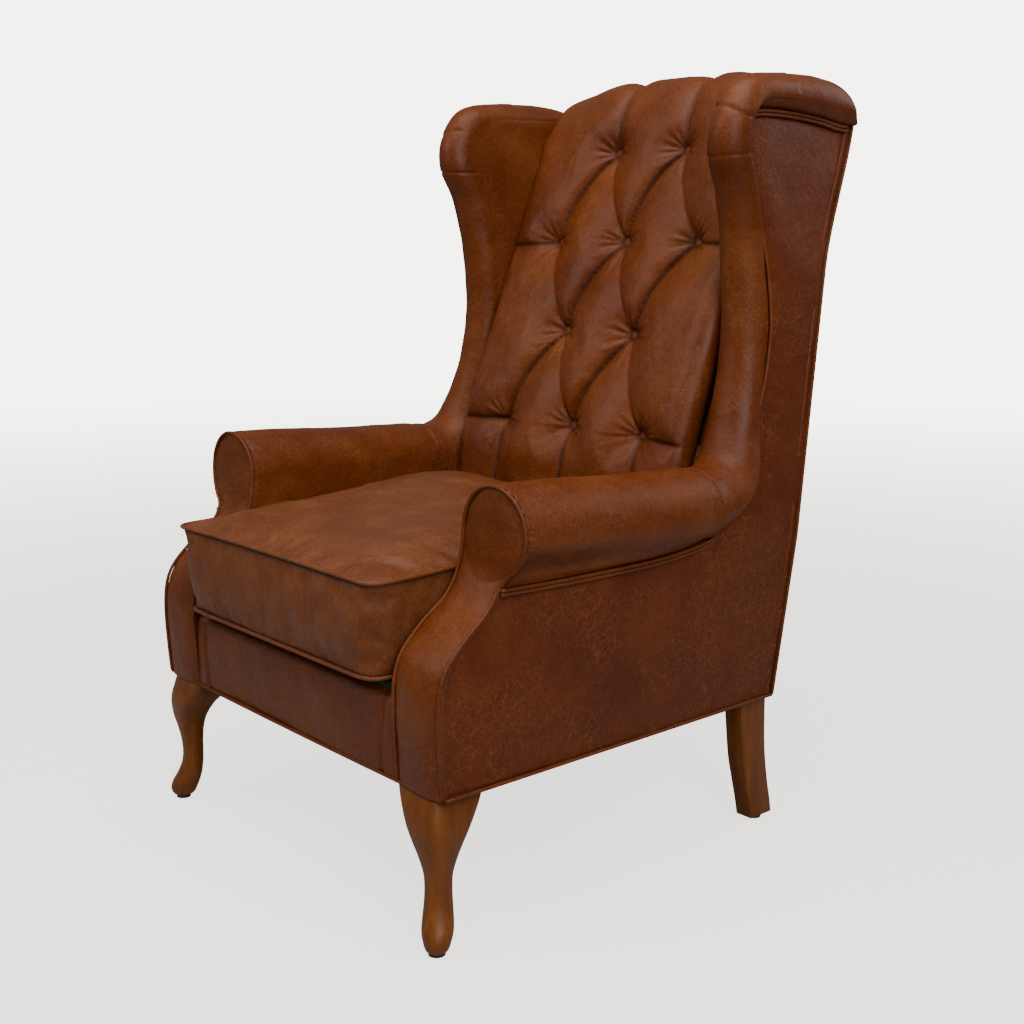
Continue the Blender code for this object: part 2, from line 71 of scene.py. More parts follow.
def smoothPath(points, perSpan=14, evenLength=True):
    # a soft line through the points: returns place(t), with t from 0 to 1 along it
    points = [Vector(p) for p in points]
    ends = [2 * points[0] - points[1], *points, 2 * points[-1] - points[-2]]
    line = []
    for a, b, c, d in zip(ends, ends[1:], ends[2:], ends[3:]):
        for i in range(perSpan):
            t = i / perSpan
            line.append(0.5 * (2 * b + (c - a) * t + (2 * a - 5 * b + 4 * c - d) * t * t
                               + (3 * b - a - 3 * c + d) * t ** 3))
    line.append(points[-1])
    reach = [0.0]
    for a, b in zip(line, line[1:]):
        reach.append(reach[-1] + ((b - a).length if evenLength else 1.0))

    def place(t):
        want = min(1.0, max(0.0, t)) * reach[-1]
        i = min(bisect_right(reach, want) - 1, len(line) - 2)
        return line[i].lerp(line[i + 1], (want - reach[i]) / (reach[i + 1] - reach[i]))

    place.total = reach[-1]
    return place


# ---- materials ----
def newMaterial(name):
    material = bpy.data.materials.new(name)
    material.use_nodes = True
    nodes, links = material.node_tree.nodes, material.node_tree.links
    return material, nodes, links, nodes["Principled BSDF"]


def addNode(nodes, kind, **values):
    node = nodes.new(kind)
    for key, value in values.items():
        if key in node.inputs:
            node.inputs[key].default_value = value
        else:
            setattr(node, key, value)
    return node


def colourRamp(nodes, stops):
    ramp = nodes.new("ShaderNodeValToRGB")
    band = ramp.color_ramp
    while len(band.elements) < len(stops):
        band.elements.new(0.5)
    for element, (place, colour) in zip(band.elements, stops):
        element.position = place
        element.color = (*colour, 1) if len(colour) == 3 else colour
    return ramp


def mixColour(nodes, links, factor, first, second, blend="MIX"):
    node = nodes.new("ShaderNodeMix")
    node.data_type = "RGBA"
    node.blend_type = blend
    for socket, value in ((node.inputs[0], factor), (node.inputs[6], first), (node.inputs[7], second)):
        if isinstance(value, (int, float)):
            socket.default_value = value
        elif isinstance(value, tuple):
            socket.default_value = (*value, 1)
        else:
            links.new(value, socket)
    return node.outputs[2]


def maths(nodes, links, operation, first, second=0.0):
    node = nodes.new("ShaderNodeMath")
    node.operation = operation
    for socket, value in zip(node.inputs, (first, second)):
        if isinstance(value, (int, float)):
            socket.default_value = value
        else:
            links.new(value, socket)
    return node.outputs[0]


def leatherMaterial(name, look):
    # waxed brown hide: cloudy colour, pale crackle lines, a fine pebble, and painted shade: darker where the mesh's
    # shade attribute is set, in creases and hollows
    material, nodes, links, shader = newMaterial(name)
    spot = nodes.new("ShaderNodeTexCoord").outputs["Object"]

    def noiseOf(scale, detail=5.0, roughness=0.6, distortion=0.0, vector=spot):
        node = addNode(nodes, "ShaderNodeTexNoise", Scale=scale, Detail=detail, Roughness=roughness,
                       Distortion=distortion)
        links.new(vector, node.inputs["Vector"])
        return node

    cloud = noiseOf(look["cloudScale"], 7.0, 0.62)
    ramp = colourRamp(nodes, ((0.30, look["dark"]), (0.52, look["mid"]), (0.75, look["light"])))
    links.new(cloud.outputs["Fac"], ramp.inputs["Fac"])
    base = ramp.outputs["Color"]
    speckle = noiseOf(190.0, 4.0, 0.7)
    speckleRamp = colourRamp(nodes, ((0.38, (0.66, 0.64, 0.62)), (0.62, (1.18, 1.20, 1.22))))
    links.new(speckle.outputs["Fac"], speckleRamp.inputs["Fac"])
    base = mixColour(nodes, links, 0.55, base, speckleRamp.outputs["Color"], "MULTIPLY")

    # crackle: lines between bent cells, shown in patches
    bend = noiseOf(26.0, 3.0, 0.6)
    bent = nodes.new("ShaderNodeVectorMath")
    bent.operation = "MULTIPLY_ADD"
    links.new(bend.outputs["Color"], bent.inputs[0])
    bent.inputs[1].default_value = (0.035, 0.035, 0.035)
    links.new(spot, bent.inputs[2])
    lines = None
    for scale, width, amount in ((look["crackleScale"], 0.030, 1.0), (look["crackleScale"] * 2.3, 0.045, 0.7)):
        cells = addNode(nodes, "ShaderNodeTexVoronoi", Scale=scale, feature="DISTANCE_TO_EDGE")
        links.new(bent.outputs[0], cells.inputs["Vector"])
        edge = colourRamp(nodes, ((0.0, (amount,) * 3), (width, (0.0,) * 3)))
        links.new(cells.outputs["Distance"], edge.inputs["Fac"])
        lines = edge.outputs["Color"] if lines is None else maths(nodes, links, "MAXIMUM", lines, edge.outputs["Color"])
    patches = noiseOf(9.0, 3.0, 0.6, 0.4)
    patchRamp = colourRamp(nodes, ((0.42, (0.0,) * 3), (0.62, (1.0,) * 3)))
    links.new(patches.outputs["Fac"], patchRamp.inputs["Fac"])
    crackle = maths(nodes, links, "MULTIPLY", lines, patchRamp.outputs["Color"])
    shown = maths(nodes, links, "MULTIPLY", crackle, look["crackleShown"])
    base = mixColour(nodes, links, shown, base, look["crackleColour"])

    # painted shade in creases and button hollows: the mesh's shade attribute darkens the colour
    painted_shade = addNode(nodes, "ShaderNodeAttribute", attribute_name="painted_shade")
    shade_amount = maths(nodes, links, "MULTIPLY", painted_shade.outputs["Fac"], 0.85)
    base = mixColour(nodes, links, shade_amount, base, look["deep"])
    links.new(base, shader.inputs["Base Color"])

    gloss = noiseOf(14.0, 5.0, 0.65)
    glossRamp = colourRamp(nodes, ((0.3, (look["gloss"][0],) * 3), (0.7, (look["gloss"][1],) * 3)))
    links.new(gloss.outputs["Fac"], glossRamp.inputs["Fac"])
    # creases are matt
    worn = maths(nodes, links, "ADD", maths(nodes, links, "MULTIPLY", crackle, 0.15),
                 maths(nodes, links, "MULTIPLY", painted_shade.outputs["Fac"], 0.40))
    links.new(maths(nodes, links, "ADD", glossRamp.outputs["Color"], worn), shader.inputs["Roughness"])

    pebble = addNode(nodes, "ShaderNodeTexVoronoi", Scale=620.0, feature="SMOOTH_F1")
    links.new(spot, pebble.inputs["Vector"])
    grain = noiseOf(120.0, 6.0, 0.7)
    creping = noiseOf(34.0, 4.0, 0.55, 0.8)
    height = maths(nodes, links, "MULTIPLY_ADD", pebble.outputs["Distance"], 0.22)
    links.new(grain.outputs["Fac"], height.node.inputs[2])
    height = maths(nodes, links, "SUBTRACT", height, maths(nodes, links, "MULTIPLY", crackle, 0.35))
    soft = addNode(nodes, "ShaderNodeBump", Strength=0.22, Distance=0.006)
    links.new(creping.outputs["Fac"], soft.inputs["Height"])
    fine = addNode(nodes, "ShaderNodeBump", Strength=look["grain"], Distance=0.0012)
    links.new(height, fine.inputs["Height"])
    links.new(soft.outputs["Normal"], fine.inputs["Normal"])
    links.new(fine.outputs["Normal"], shader.inputs["Normal"])
    shader.inputs["IOR"].default_value = 1.5
    shader.inputs["Specular IOR Level"].default_value = look["shine"]
    return material


# the darkest colour is painted shade for creases and button hollows
hide = {"dark": (0.070, 0.0125, 0.0012), "mid": (0.096, 0.0198, 0.0019), "light": (0.130, 0.0345, 0.0056),
        "deep": (0.016, 0.0030, 0.0003), "cloudScale": 7.0, "crackleScale": 76.0, "crackleShown": 0.36,
        "crackleColour": (0.24, 0.085, 0.022), "gloss": (0.36, 0.50), "grain": 0.45, "shine": 0.18}
leather = leatherMaterial("hide", hide)
seatLeather = leatherMaterial("hide_worn", {**hide, "dark": (0.092, 0.0225, 0.0048), "mid": (0.110, 0.0305, 0.0080),
                                            "light": (0.142, 0.048, 0.0165), "cloudScale": 14.0, "crackleShown": 0.25, "gloss": (0.38, 0.54)})
panelLeather = leatherMaterial("hide_panel", {**hide, "crackleShown": 0.46, "crackleScale": 62.0,
                                              "dark": (0.062, 0.0095, 0.0008), "mid": (0.082, 0.0145, 0.0012),
                                              "light": (0.110, 0.024, 0.0026)})


def woodMaterial(name, dark, light, roughness, ringScale, coat=0.0):
    # long grain up the piece, with darker pores
    material, nodes, links, shader = newMaterial(name)
    spot = nodes.new("ShaderNodeTexCoord").outputs["Object"]
    stretch = addNode(nodes, "ShaderNodeMapping", Scale=(1.0, 1.0, 0.06))
    links.new(spot, stretch.inputs["Vector"])
    rings = addNode(nodes, "ShaderNodeTexNoise", Scale=ringScale, Detail=6.0, Roughness=0.62, Distortion=0.6)
    links.new(stretch.outputs["Vector"], rings.inputs["Vector"])
    ramp = colourRamp(nodes, ((0.32, dark), (0.68, light)))
    links.new(rings.outputs["Fac"], ramp.inputs["Fac"])
    pores = addNode(nodes, "ShaderNodeTexNoise", Scale=620.0, Detail=3.0, Roughness=0.7)
    links.new(stretch.outputs["Vector"], pores.inputs["Vector"])
    poreRamp = colourRamp(nodes, ((0.34, (0.45,) * 3), (0.48, (1.0,) * 3)))
    links.new(pores.outputs["Fac"], poreRamp.inputs["Fac"])
    base = mixColour(nodes, links, 0.55, ramp.outputs["Color"], poreRamp.outputs["Color"], "MULTIPLY")
    links.new(base, shader.inputs["Base Color"])
    rough = colourRamp(nodes, ((0.3, (roughness - 0.06,) * 3), (0.7, (roughness + 0.08,) * 3)))
    links.new(rings.outputs["Fac"], rough.inputs["Fac"])
    links.new(rough.outputs["Color"], shader.inputs["Roughness"])
    bump = addNode(nodes, "ShaderNodeBump", Strength=0.25, Distance=0.0006)
    links.new(poreRamp.outputs["Color"], bump.inputs["Height"])
    links.new(bump.outputs["Normal"], shader.inputs["Normal"])
    shader.inputs["Coat Weight"].default_value = coat
    shader.inputs["Coat Roughness"].default_value = 0.25
    shader.inputs["Specular IOR Level"].default_value = 0.25
    return material


def clothMaterial(name, colour, threadScale, roughness=0.95):
    # plain weave seen as two crossed sets of threads
    material, nodes, links, shader = newMaterial(name)
    spot = nodes.new("ShaderNodeTexCoord").outputs["Object"]
    height = None
    for direction in ("X", "Y"):
        threads = addNode(nodes, "ShaderNodeTexWave", Scale=threadScale, Distortion=0.4, bands_direction=direction)
        links.new(spot, threads.inputs["Vector"])
        height = threads.outputs["Fac"] if height is None else maths(nodes, links, "MULTIPLY", height,
                                                                     threads.outputs["Fac"])
    patch = addNode(nodes, "ShaderNodeTexNoise", Scale=18.0, Detail=5.0)
    links.new(spot, patch.inputs["Vector"])
    shade = colourRamp(nodes, ((0.3, tuple(0.7 * c for c in colour)), (0.7, tuple(1.3 * c for c in colour))))
    links.new(patch.outputs["Fac"], shade.inputs["Fac"])
    base = mixColour(nodes, links, height, shade.outputs["Color"], tuple(min(1.0, 1.9 * c) for c in colour))
    links.new(base, shader.inputs["Base Color"])
    bump = addNode(nodes, "ShaderNodeBump", Strength=0.5, Distance=0.0006)
    links.new(height, bump.inputs["Height"])
    links.new(bump.outputs["Normal"], shader.inputs["Normal"])
    shader.inputs["Roughness"].default_value = roughness
    return material


def plainMaterial(name, colour, roughness, metallic=0.0, bumpScale=240.0, bumpStrength=0.15):
    # moulded or plated surface with slight unevenness in tone and finish
    material, nodes, links, shader = newMaterial(name)
    spot = nodes.new("ShaderNodeTexCoord").outputs["Object"]
    spread = addNode(nodes, "ShaderNodeTexNoise", Scale=bumpScale, Detail=5.0)
    links.new(spot, spread.inputs["Vector"])
    shade = colourRamp(nodes, ((0.3, tuple(0.8 * c for c in colour)), (0.7, tuple(min(1.0, 1.15 * c) for c in colour))))
    links.new(spread.outputs["Fac"], shade.inputs["Fac"])
    links.new(shade.outputs["Color"], shader.inputs["Base Color"])
    rough = colourRamp(nodes, ((0.3, (roughness - 0.05,) * 3), (0.7, (roughness + 0.08,) * 3)))
    links.new(spread.outputs["Fac"], rough.inputs["Fac"])
    links.new(rough.outputs["Color"], shader.inputs["Roughness"])
    bump = addNode(nodes, "ShaderNodeBump", Strength=bumpStrength, Distance=0.0005)
    links.new(spread.outputs["Fac"], bump.inputs["Height"])
    links.new(bump.outputs["Normal"], shader.inputs["Normal"])
    shader.inputs["Metallic"].default_value = metallic
    return material


legWood = woodMaterial("stained_leg", (0.080, 0.0180, 0.0006), (0.150, 0.043, 0.0020), 0.42, 42.0, 0.03)
beech = woodMaterial("beech", (0.46, 0.30, 0.16), (0.66, 0.47, 0.28), 0.6, 30.0)
blackCloth = clothMaterial("black_cloth", (0.012, 0.012, 0.013), 260.0)
foam = plainMaterial("foam", (0.80, 0.74, 0.52), 0.9, 0.0, 420.0, 0.6)
zinc = plainMaterial("zinc", (0.60, 0.60, 0.62), 0.32, 1.0)
blackPlastic = plainMaterial("black_plastic", (0.014, 0.014, 0.015), 0.5)
zipTape = clothMaterial("zip_tape", (0.030, 0.014, 0.008), 500.0)
print("materials made")


# ---- building tools ----
def addPiece(name, bm, material, body="chair", replaced=(), padding=None, smoothAngle=None, slotName="leather"):
    bmesh.ops.recalc_face_normals(bm, faces=bm.faces)
    mesh = bpy.data.meshes.new(name)
    bm.to_mesh(mesh)
    bm.free()
    mesh.materials.append(material)
    mesh.shade_smooth()
    if smoothAngle:
        mesh.set_sharp_from_angle(angle=math.radians(smoothAngle))
    piece = bpy.data.objects.new(name, mesh)
    bpy.context.scene.collection.objects.link(piece)
    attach(piece, body)
    if replaced:
        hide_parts(*replaced)
    return piece


def gridPad(acrossCount, alongCount, front, rear, painted_shade=None):
    # a pad: a grid laid by front(u, v) as its outer skin, closed behind by the same grid laid by rear(u, v)
    bm = bmesh.new()
    layers = [bm.verts.layers.float.new(name) for name in ("u", "v", "skin", "painted_shade")]
    bmesh.ops.create_grid(bm, x_segments=acrossCount, y_segments=alongCount, size=0.5)
    grown = bmesh.ops.extrude_face_region(bm, geom=bm.faces[:], use_keep_orig=True)["geom"]
    inner = {part for part in grown if isinstance(part, bmesh.types.BMVert)}
    for vert in bm.verts:
        u, v = vert.co.x + 0.5, vert.co.y + 0.5
        onSkin = vert not in inner
        vert.co = front(u, v) if onSkin else rear(u, v)
        # the skin's painted shade amount comes from the given function
        values = (u, v, 1.0 if onSkin else 0.0, painted_shade(u, v) if painted_shade and onSkin else 0.0)
        for layer, value in zip(layers, values):
            vert[layer] = value
    return bm


def mirrorCopy(bm):
    other = bm.copy()
    bmesh.ops.scale(other, vec=(-1, 1, 1), verts=other.verts)
    return other


def addPair(stem, bm, *more, replaced=(), **others):
    right = mirrorCopy(bm)
    pieces = []
    for side, mesh in (("left", bm), ("right", right)):
        nodes = [f"{node}_{side}" for node in replaced]
        pieces.append(addPiece(f"{stem}_{side}", mesh, *more, replaced=nodes, **others))
    return pieces


def addTube(bm, points, radius, closed=False, sides=2):
    # a cord along the points, added to bm
    data = bpy.data.curves.new("cord", "CURVE")
    data.dimensions = "3D"
    data.bevel_depth = radius
    data.bevel_resolution = sides
    data.use_fill_caps = True
    spline = data.splines.new("POLY")
    spline.points.add(len(points) - 1)
    for place, point in zip(spline.points, points):
        place.co = (*point, 1)
    spline.use_cyclic_u = closed
    cord = bpy.data.objects.new("cord", data)
    bpy.context.scene.collection.objects.link(cord)
    bpy.context.view_layer.update()
    mesh = bpy.data.meshes.new_from_object(cord.evaluated_get(bpy.context.evaluated_depsgraph_get()))
    bm.from_mesh(mesh)
    bmesh.ops.remove_doubles(bm, verts=bm.verts, dist=1e-6)
    bpy.data.objects.remove(cord)
    bpy.data.curves.remove(data)
    bpy.data.meshes.remove(mesh)


def wobble(point, scale, amount, seed=0.0):
    # gentle unevenness of stuffed leather
    return amount * noise.noise(point * scale + Vector((seed, 2.7 * seed, -seed)))


# ---- outlines shared by the pieces, as (depth, height) ----
armFront = smoothPath(((0.000, baseHeight), (-0.004, 0.270), (-0.006, 0.330), (-0.0015, 0.372), (0.013, 0.402),
                       (0.044, 0.432), (0.078, 0.457), (0.097, 0.482), (0.107, 0.510), (0.112, 0.545),
                       (0.113, 0.585), (0.112, armTop)))
armFrontPoints = [armFront(i / 200) for i in range(201)]


def armFrontDepth(height):
    for a, b in zip(armFrontPoints, armFrontPoints[1:]):
        if b.y >= height:
            return mix(a.x, b.x, (height - a.y) / max(1e-6, b.y - a.y))
    return armFrontPoints[-1].x


def panelFace(height):
    # x of the outside panel's face: upright up to the arm, then leaning in
    return halfWidth - 0.0566 * max(0.0, height - 0.472)


def rollTop(depth):
    return armTop + 0.0005 - 0.0190 * min(1.0, max(0.0, (depth - 0.115) / 0.410)) ** 1.15


# rows across the arm's end and the wing, from the arm's back end up the front edge and over the top to the back:
# front edge, seam with the outside panel, joint with the inside back, outer face x, inner face x, roundness
wingRows = (
    ((0.500, rollTop(0.500)), (0.508, 0.4940), (0.506, 0.338), 0.4010, 0.2740, 0.0620),
    ((0.530, 0.5990), (0.541, 0.5090), (0.519, 0.420), 0.3990, 0.2735, 0.0600),
    ((0.553, 0.6085), (0.566, 0.5380), (0.556, 0.510), 0.3930, 0.2730, 0.0550),
    ((0.5675, 0.6300), (0.587, 0.5780), (0.588, 0.600), 0.3820, 0.2725, 0.0480),
    ((0.5815, 0.6650), (0.605, 0.6320), (0.607, 0.652), 0.3680, 0.2725, 0.0410),
    ((0.5975, 0.7270), (0.635, 0.7150), (0.635, 0.725), 0.3560, 0.2725, 0.0375),
    ((0.6050, 0.8000), (0.651, 0.7900), (0.662, 0.800), 0.3490, 0.2725, 0.0360),
    ((0.6025, 0.8560), (0.649, 0.8600), (0.684, 0.860), 0.3475, 0.2730, 0.0360),
    ((0.5945, 0.9300), (0.635, 0.9300), (0.710, 0.935), 0.3475, 0.2750, 0.0360),
    ((0.5780, 1.0000), (0.612, 0.9950), (0.733, 1.005), 0.3500, 0.2790, 0.0350),
    ((0.5540, 1.0530), (0.595, 1.0520), (0.750, 1.058), 0.3535, 0.2850, 0.0340),
    ((0.5580, 1.1080), (0.5925, 1.0930), (0.774, 1.100), 0.3550, 0.2870, 0.0340),
    ((0.5990, 1.1610), (0.618, 1.1150), (0.790, 1.130), 0.3545, 0.2840, 0.0330),
    ((0.6900, 1.1745), (0.690, 1.1180), (0.800, 1.145), 0.3530, 0.2790, 0.0345),
    ((0.7980, 1.1755), (0.770, 1.1130), (0.813, 1.153), 0.3505, 0.2745, 0.0350),
    ((0.8470, 1.1630), (0.815, 1.1060), (0.826, 1.153), 0.3495, 0.2735, 0.0330),
    ((0.8655, 1.1380), (0.840, 1.1040), (0.846, 1.136), 0.3485, 0.2735, 0.0200),
    ((0.8650, 1.1090), (0.859, 1.1040), (0.857, 1.107), 0.3450, 0.2740, 0.0070))
wingParts = [smoothPath([row[i] for row in wingRows], evenLength=False) for i in range(3)]
wingSizes = smoothPath([row[3:] for row in wingRows], evenLength=False)
outerSeam = wingParts[1]


def rowAt(v):
    # where row v of the wing lies, and which way its section points
    edge, seam, joint = (part(v) for part in wingParts)
    run = wingParts[0](v + 0.01) - wingParts[0](v - 0.01)
    square = Vector((run.y, -run.x)).normalized()
    across = ((seam + joint) / 2 - edge).normalized()
    inward = (square + across).normalized()
    return edge, seam, joint, inward, *wingSizes(v)


jointX = 0.2625  # where the wing's inner face meets the inside back


def sectionPoint(u, edge, seam, joint, inward, outer, inner, roundness, jointX, seamX, tuck=0.0):
    # round the arm or wing, from the joint inside (u 0) over the edge to the outside seam (u 1)
    half, middle = (outer - inner) / 2, (outer + inner) / 2
    if 0.34 <= u <= 0.70:
        angle = math.pi * ((u - 0.34) / 0.36 - 0.5)
        spot = edge + inward * roundness * (1 - math.cos(angle))
        return at(middle + half * math.sin(angle), spot.x, spot.y)
    start = edge + inward * roundness
    if u < 0.34:
        t = 1 - u / 0.34
        spot = start.lerp(joint, t)
        return at(mix(inner, jointX, t ** 1.4) - 0.002 * math.sin(math.pi * min(1, 1.1 * t)), spot.x, spot.y)
    t = (u - 0.70) / 0.30
    bend = start + inward * 0.55 * (seam - start).length
    spot = start.lerp(bend, t).lerp(bend.lerp(seam, t), t)
    return at(mix(outer, seamX, mix(t ** 2.2, smooth(0.12, 0.80, t), tuck)), spot.x, spot.y)


# the seam under the arm roll, running on into the wing's first row
armSeam = smoothPath(((0.090, 0.4845), (0.200, 0.4812), (0.320, 0.4800), (0.400, 0.4812), (0.465, 0.4865),
                      (0.508, 0.4940), (0.541, 0.5090)))


def seamHeight(depth):
    low, high = 0.0, 1.0
    for step in range(18):
        middle = (low + high) / 2
        low, high = (middle, high) if armSeam(middle).x < depth else (low, middle)
    return armSeam(low).y


def addRelief(bm, relief):
    # moves each vertex of the outer skin along its normal by relief(u, v, place)
    u, v, skin = (bm.verts.layers.float[name] for name in ("u", "v", "skin"))
    bmesh.ops.recalc_face_normals(bm, faces=bm.faces)
    bm.normal_update()
    for vert in [vert for vert in bm.verts if vert[skin] > 0.5]:
        vert[skin] = 2.0
    moves = [(vert, vert.normal * relief(vert[u], vert[v], vert.co)) for vert in bm.verts if vert[skin] > 1.5]
    for vert, move in moves:
        vert.co += move


# ---- arms ----
arm = {"across": 96, "along": 150, "start": 0.115, "end": 0.502, "gatherDepth": 0.0017, "gatherPitch": 0.0085}


def armDepth(v, height, start=0.0):
    lead = armFrontDepth(height) + 0.0035 - arm["start"]
    return mix(arm["start"], arm["end"], v) + lead * (1 - v) ** 1.6 + start


def armPoint(u, v):
    depth = mix(arm["start"], arm["end"], v)
    late = smooth(0.25, 1.0, v)
    row = (Vector((depth, rollTop(depth))), Vector((depth, seamHeight(depth))), Vector((depth, 0.338)), Vector((0, -1)),
           mix(armOutside, 0.4010, late), mix(0.2750, 0.2740, late), mix(rollRadius - 0.0005, 0.0620, late))
    spot = sectionPoint(u, *row, armInside + 0.0005, panelFace(row[1].y) - 0.002, 1 - smooth(0.1, 1.0, v))
    spot.y = frontFace + armDepth(v, spot.z - 0.0)
    return spot


def armRear(u, v):
    spot = armPoint(u, v)
    behind = 0.050 * (1 - v) ** 6
    return Vector((mix(spot.x, 0.330, 0.35), spot.y + behind, mix(spot.z, 0.50, 0.25)))


def armRelief(u, v, place):
    depth = place.y - frontFace
    near = depth - armFrontDepth(min(place.z, armTop)) - 0.004
    round_ = (u - 0.30) * 0.52
    fade = math.exp(-((near - 0.004) / 0.011) ** 2) * smooth(0.34, 0.50, u) * smooth(1.0, 0.86, u)
    lift = arm["gatherDepth"] * fade * math.sin(2 * math.pi * (round_ / arm["gatherPitch"] + 0.8 * noise.noise(place * 18)))
    lift -= 0.0025 * math.exp(-max(0.0, near) / 0.004)
    lift -= 0.0016 * math.exp(-((place.z - seamHeight(depth)) / 0.006) ** 2) * (u > 0.7)
    lift += wobble(place, 11, 0.0022) + wobble(place, 30, 0.0009, 3.0)
    # a soft fold where the roll runs into the wing
    lift -= 0.0020 * math.exp(-((depth - 0.497 - 0.10 * (place.z - 0.60)) / 0.010) ** 2) * smooth(0.36, 0.5, u)
    return lift


bm = gridPad(arm["across"], arm["along"], armPoint, armRear)
addRelief(bm, armRelief)
addPair("arm_leather", bm, leather, replaced=("arm_pad",), padding=0.8)
print("arms upholstered")

# ---- wings ----
wing = {"across": 88, "along": 400, "seamDepth": 0.0019, "seamWidth": 0.0021}
wingJoint = jointX


def wingPoint(u, v):
    edge, seam, joint, inward, outer, inner, roundness = rowAt(v)
    start = smooth(0.0, 0.16, v)
    return sectionPoint(u, edge, seam, joint, inward, outer, inner, roundness, mix(armInside + 0.0005, wingJoint, start),
                        panelFace(seam.y) - 0.002)


def wingRear(u, v):
    spot = wingPoint(u, v)
    edge, seam, joint = (part(v) for part in wingParts)
    middle = edge.lerp((seam + joint) / 2, 0.75)
    core = at(0.312, middle.x, middle.y)
    return spot.lerp(core, 0.30)


leafSeam = smoothPath(((0.560, 1.1085), (0.575, 1.128), (0.590, 1.1405), (0.612, 1.1475), (0.640, 1.1495),
                       (0.700, 1.148), (0.790, 1.146)))


def wingRelief(u, v, place):
    depth, height = place.y - frontFace, place.z
    lift = wobble(place, 10, 0.0026, 1.5) + wobble(place, 28, 0.0010, 5.0)

    def groove(distance, amount=1.0, width=1.0):
        return -wing["seamDepth"] * amount * math.exp(-(distance / (wing["seamWidth"] * width)) ** 2)

    if height > 1.0 and depth < 0.70 and u > 0.28:
        lift += groove(height - 1.049 - 0.012 * (u - 0.52) - 0.05 * max(0.0, depth - 0.575), smooth(0.28, 0.36, u))
        arch = 1.1115 + 0.010 * (1 - ((place.x - 0.308) / 0.036) ** 2) - 0.10 * max(0.0, depth - 0.585)
        if u < 0.80:
            lift += groove(height - arch, 1.3 * smooth(0.38, 0.46, u))
            lift += 0.0016 * smooth(arch, arch + 0.008, height) * smooth(0.38, 0.48, u)
    # the roll's fold at the foot of the wing
    lift -= 0.0014 * math.exp(-((v - 0.035) / 0.022) ** 2) * smooth(0.40, 0.55, u)
    lift -= 0.0020 * smooth(0.93, 1.0, u)
    return lift


bm = gridPad(wing["across"], wing["along"], wingPoint, wingRear)
addRelief(bm, wingRelief)
addPair("wing_leather", bm, leather, replaced=("wing_pad",), padding=0.8)
print("wings upholstered")

# ---- arm facings ----
facing = {"across": 44, "along": 150, "crown": 0.0065, "cord": 0.0027}


def keyhole(height):
    # the facing's inner and outer x at this height
    chord = math.sqrt(max(0.0, rollRadius ** 2 - (height - rollCentre[1]) ** 2))
    inner = rollCentre[0] - chord if height > rollCentre[1] else armInside + 0.003 * smooth(0.44, rollCentre[1], height)
    side = (0.370, 0.370, 0.3690, 0.3660, 0.3655, 0.3685, 0.3763)
    knots = (baseHeight, 0.440, 0.448, 0.460, 0.4755, 0.490, 0.500)
    if height >= knots[-1]:
        return inner, rollCentre[0] + chord
    i = bisect_right(knots, height) - 1
    return inner, mix(side[i], side[i + 1], (height - knots[i]) / (knots[i + 1] - knots[i]))


facingReach = armTop - 0.0012


def facingPlace(u, v, out=0.0):
    spot = armFront(v * 0.9985)
    height = min(facingReach, spot.y)
    inner, outer = keyhole(height)
    inner, outer = inner + 0.0015, outer - 0.0015
    edgeways = abs(2 * u - 1)
    crown = facing["crown"] * (1 - edgeways ** 3.2)
    if height > 0.47:
        reach = Vector((mix(inner, outer, u) - rollCentre[0], height - rollCentre[1])).length / rollRadius
        crown = mix(crown, facing["crown"] * (1 - min(1, reach) ** 3.2), smooth(0.47, 0.53, height))
    return at(mix(inner, outer, u), armFrontDepth(height) - crown + 0.0035 + out, height)


def facingRelief(u, v, place):
    height = place.z
    lift = wobble(place, 14, 0.0018, 7.0) + wobble(place, 40, 0.0006, 2.0)
    fold = (place.x - 0.318) * 0.55 + (height - 0.452)
    lift -= 0.0012 * math.exp(-(fold / 0.0045) ** 2) * smooth(0.300, 0.345, place.x)
    fold = (place.x - 0.335) * -0.35 + (height - 0.487)
    lift -= 0.0008 * math.exp(-(fold / 0.004) ** 2) * smooth(0.310, 0.350, place.x)
    return lift


bm = gridPad(facing["across"], facing["along"], facingPlace, lambda u, v: facingPlace(u, v, 0.010 + facing["crown"] * (1 - abs(2 * u - 1) ** 3.2)))
addRelief(bm, facingRelief)
addPair("arm_facing_leather", bm, leather, replaced=("arm_facing",), padding=0.7)

ring = []
steps = 90
for i in range(steps + 1):
    height = mix(baseHeight + 0.004, rollCentre[1], i / steps)
    ring.append(at(keyhole(height)[0] + 0.0008, armFrontDepth(height) + 0.0015, height))
for i in range(1, 81):
    angle = math.pi - math.pi * i / 80
    height = rollCentre[1] + (rollRadius - 0.0008) * math.sin(angle)
    ring.append(at(rollCentre[0] + (rollRadius - 0.0008) * math.cos(angle), armFrontDepth(min(height, armTop - 0.001)) + 0.0015, height))
for i in range(1, steps + 1):
    height = mix(rollCentre[1], baseHeight + 0.004, i / steps)
    ring.append(at(keyhole(height)[1] - 0.0008, armFrontDepth(height) + 0.0015, height))
bm = bmesh.new()
addTube(bm, ring, facing["cord"])
addPair("arm_facing_piping", bm, leather)
print("arm facings made")

# ---- outside panels, outside back and the border under the cushion ----
panel = {"across": 60, "along": 110, "crown": 0.0045, "edge": 0.0045}
backLean = 0.182


def backFace(height):
    # the outside back leans, and kicks out a little at the top
    return 0.665 + backLean * (height - baseHeight) + 0.034 * smooth(0.88, 1.13, height)


facingEdge = smoothPath([(armFrontDepth(mix(baseHeight, 0.4820, i / 8)) + 0.006, mix(baseHeight, 0.4820, i / 8)) for i in range(9)])
topBack = 1.1040
seamTop = Vector((backFace(topBack) + 0.001, topBack))


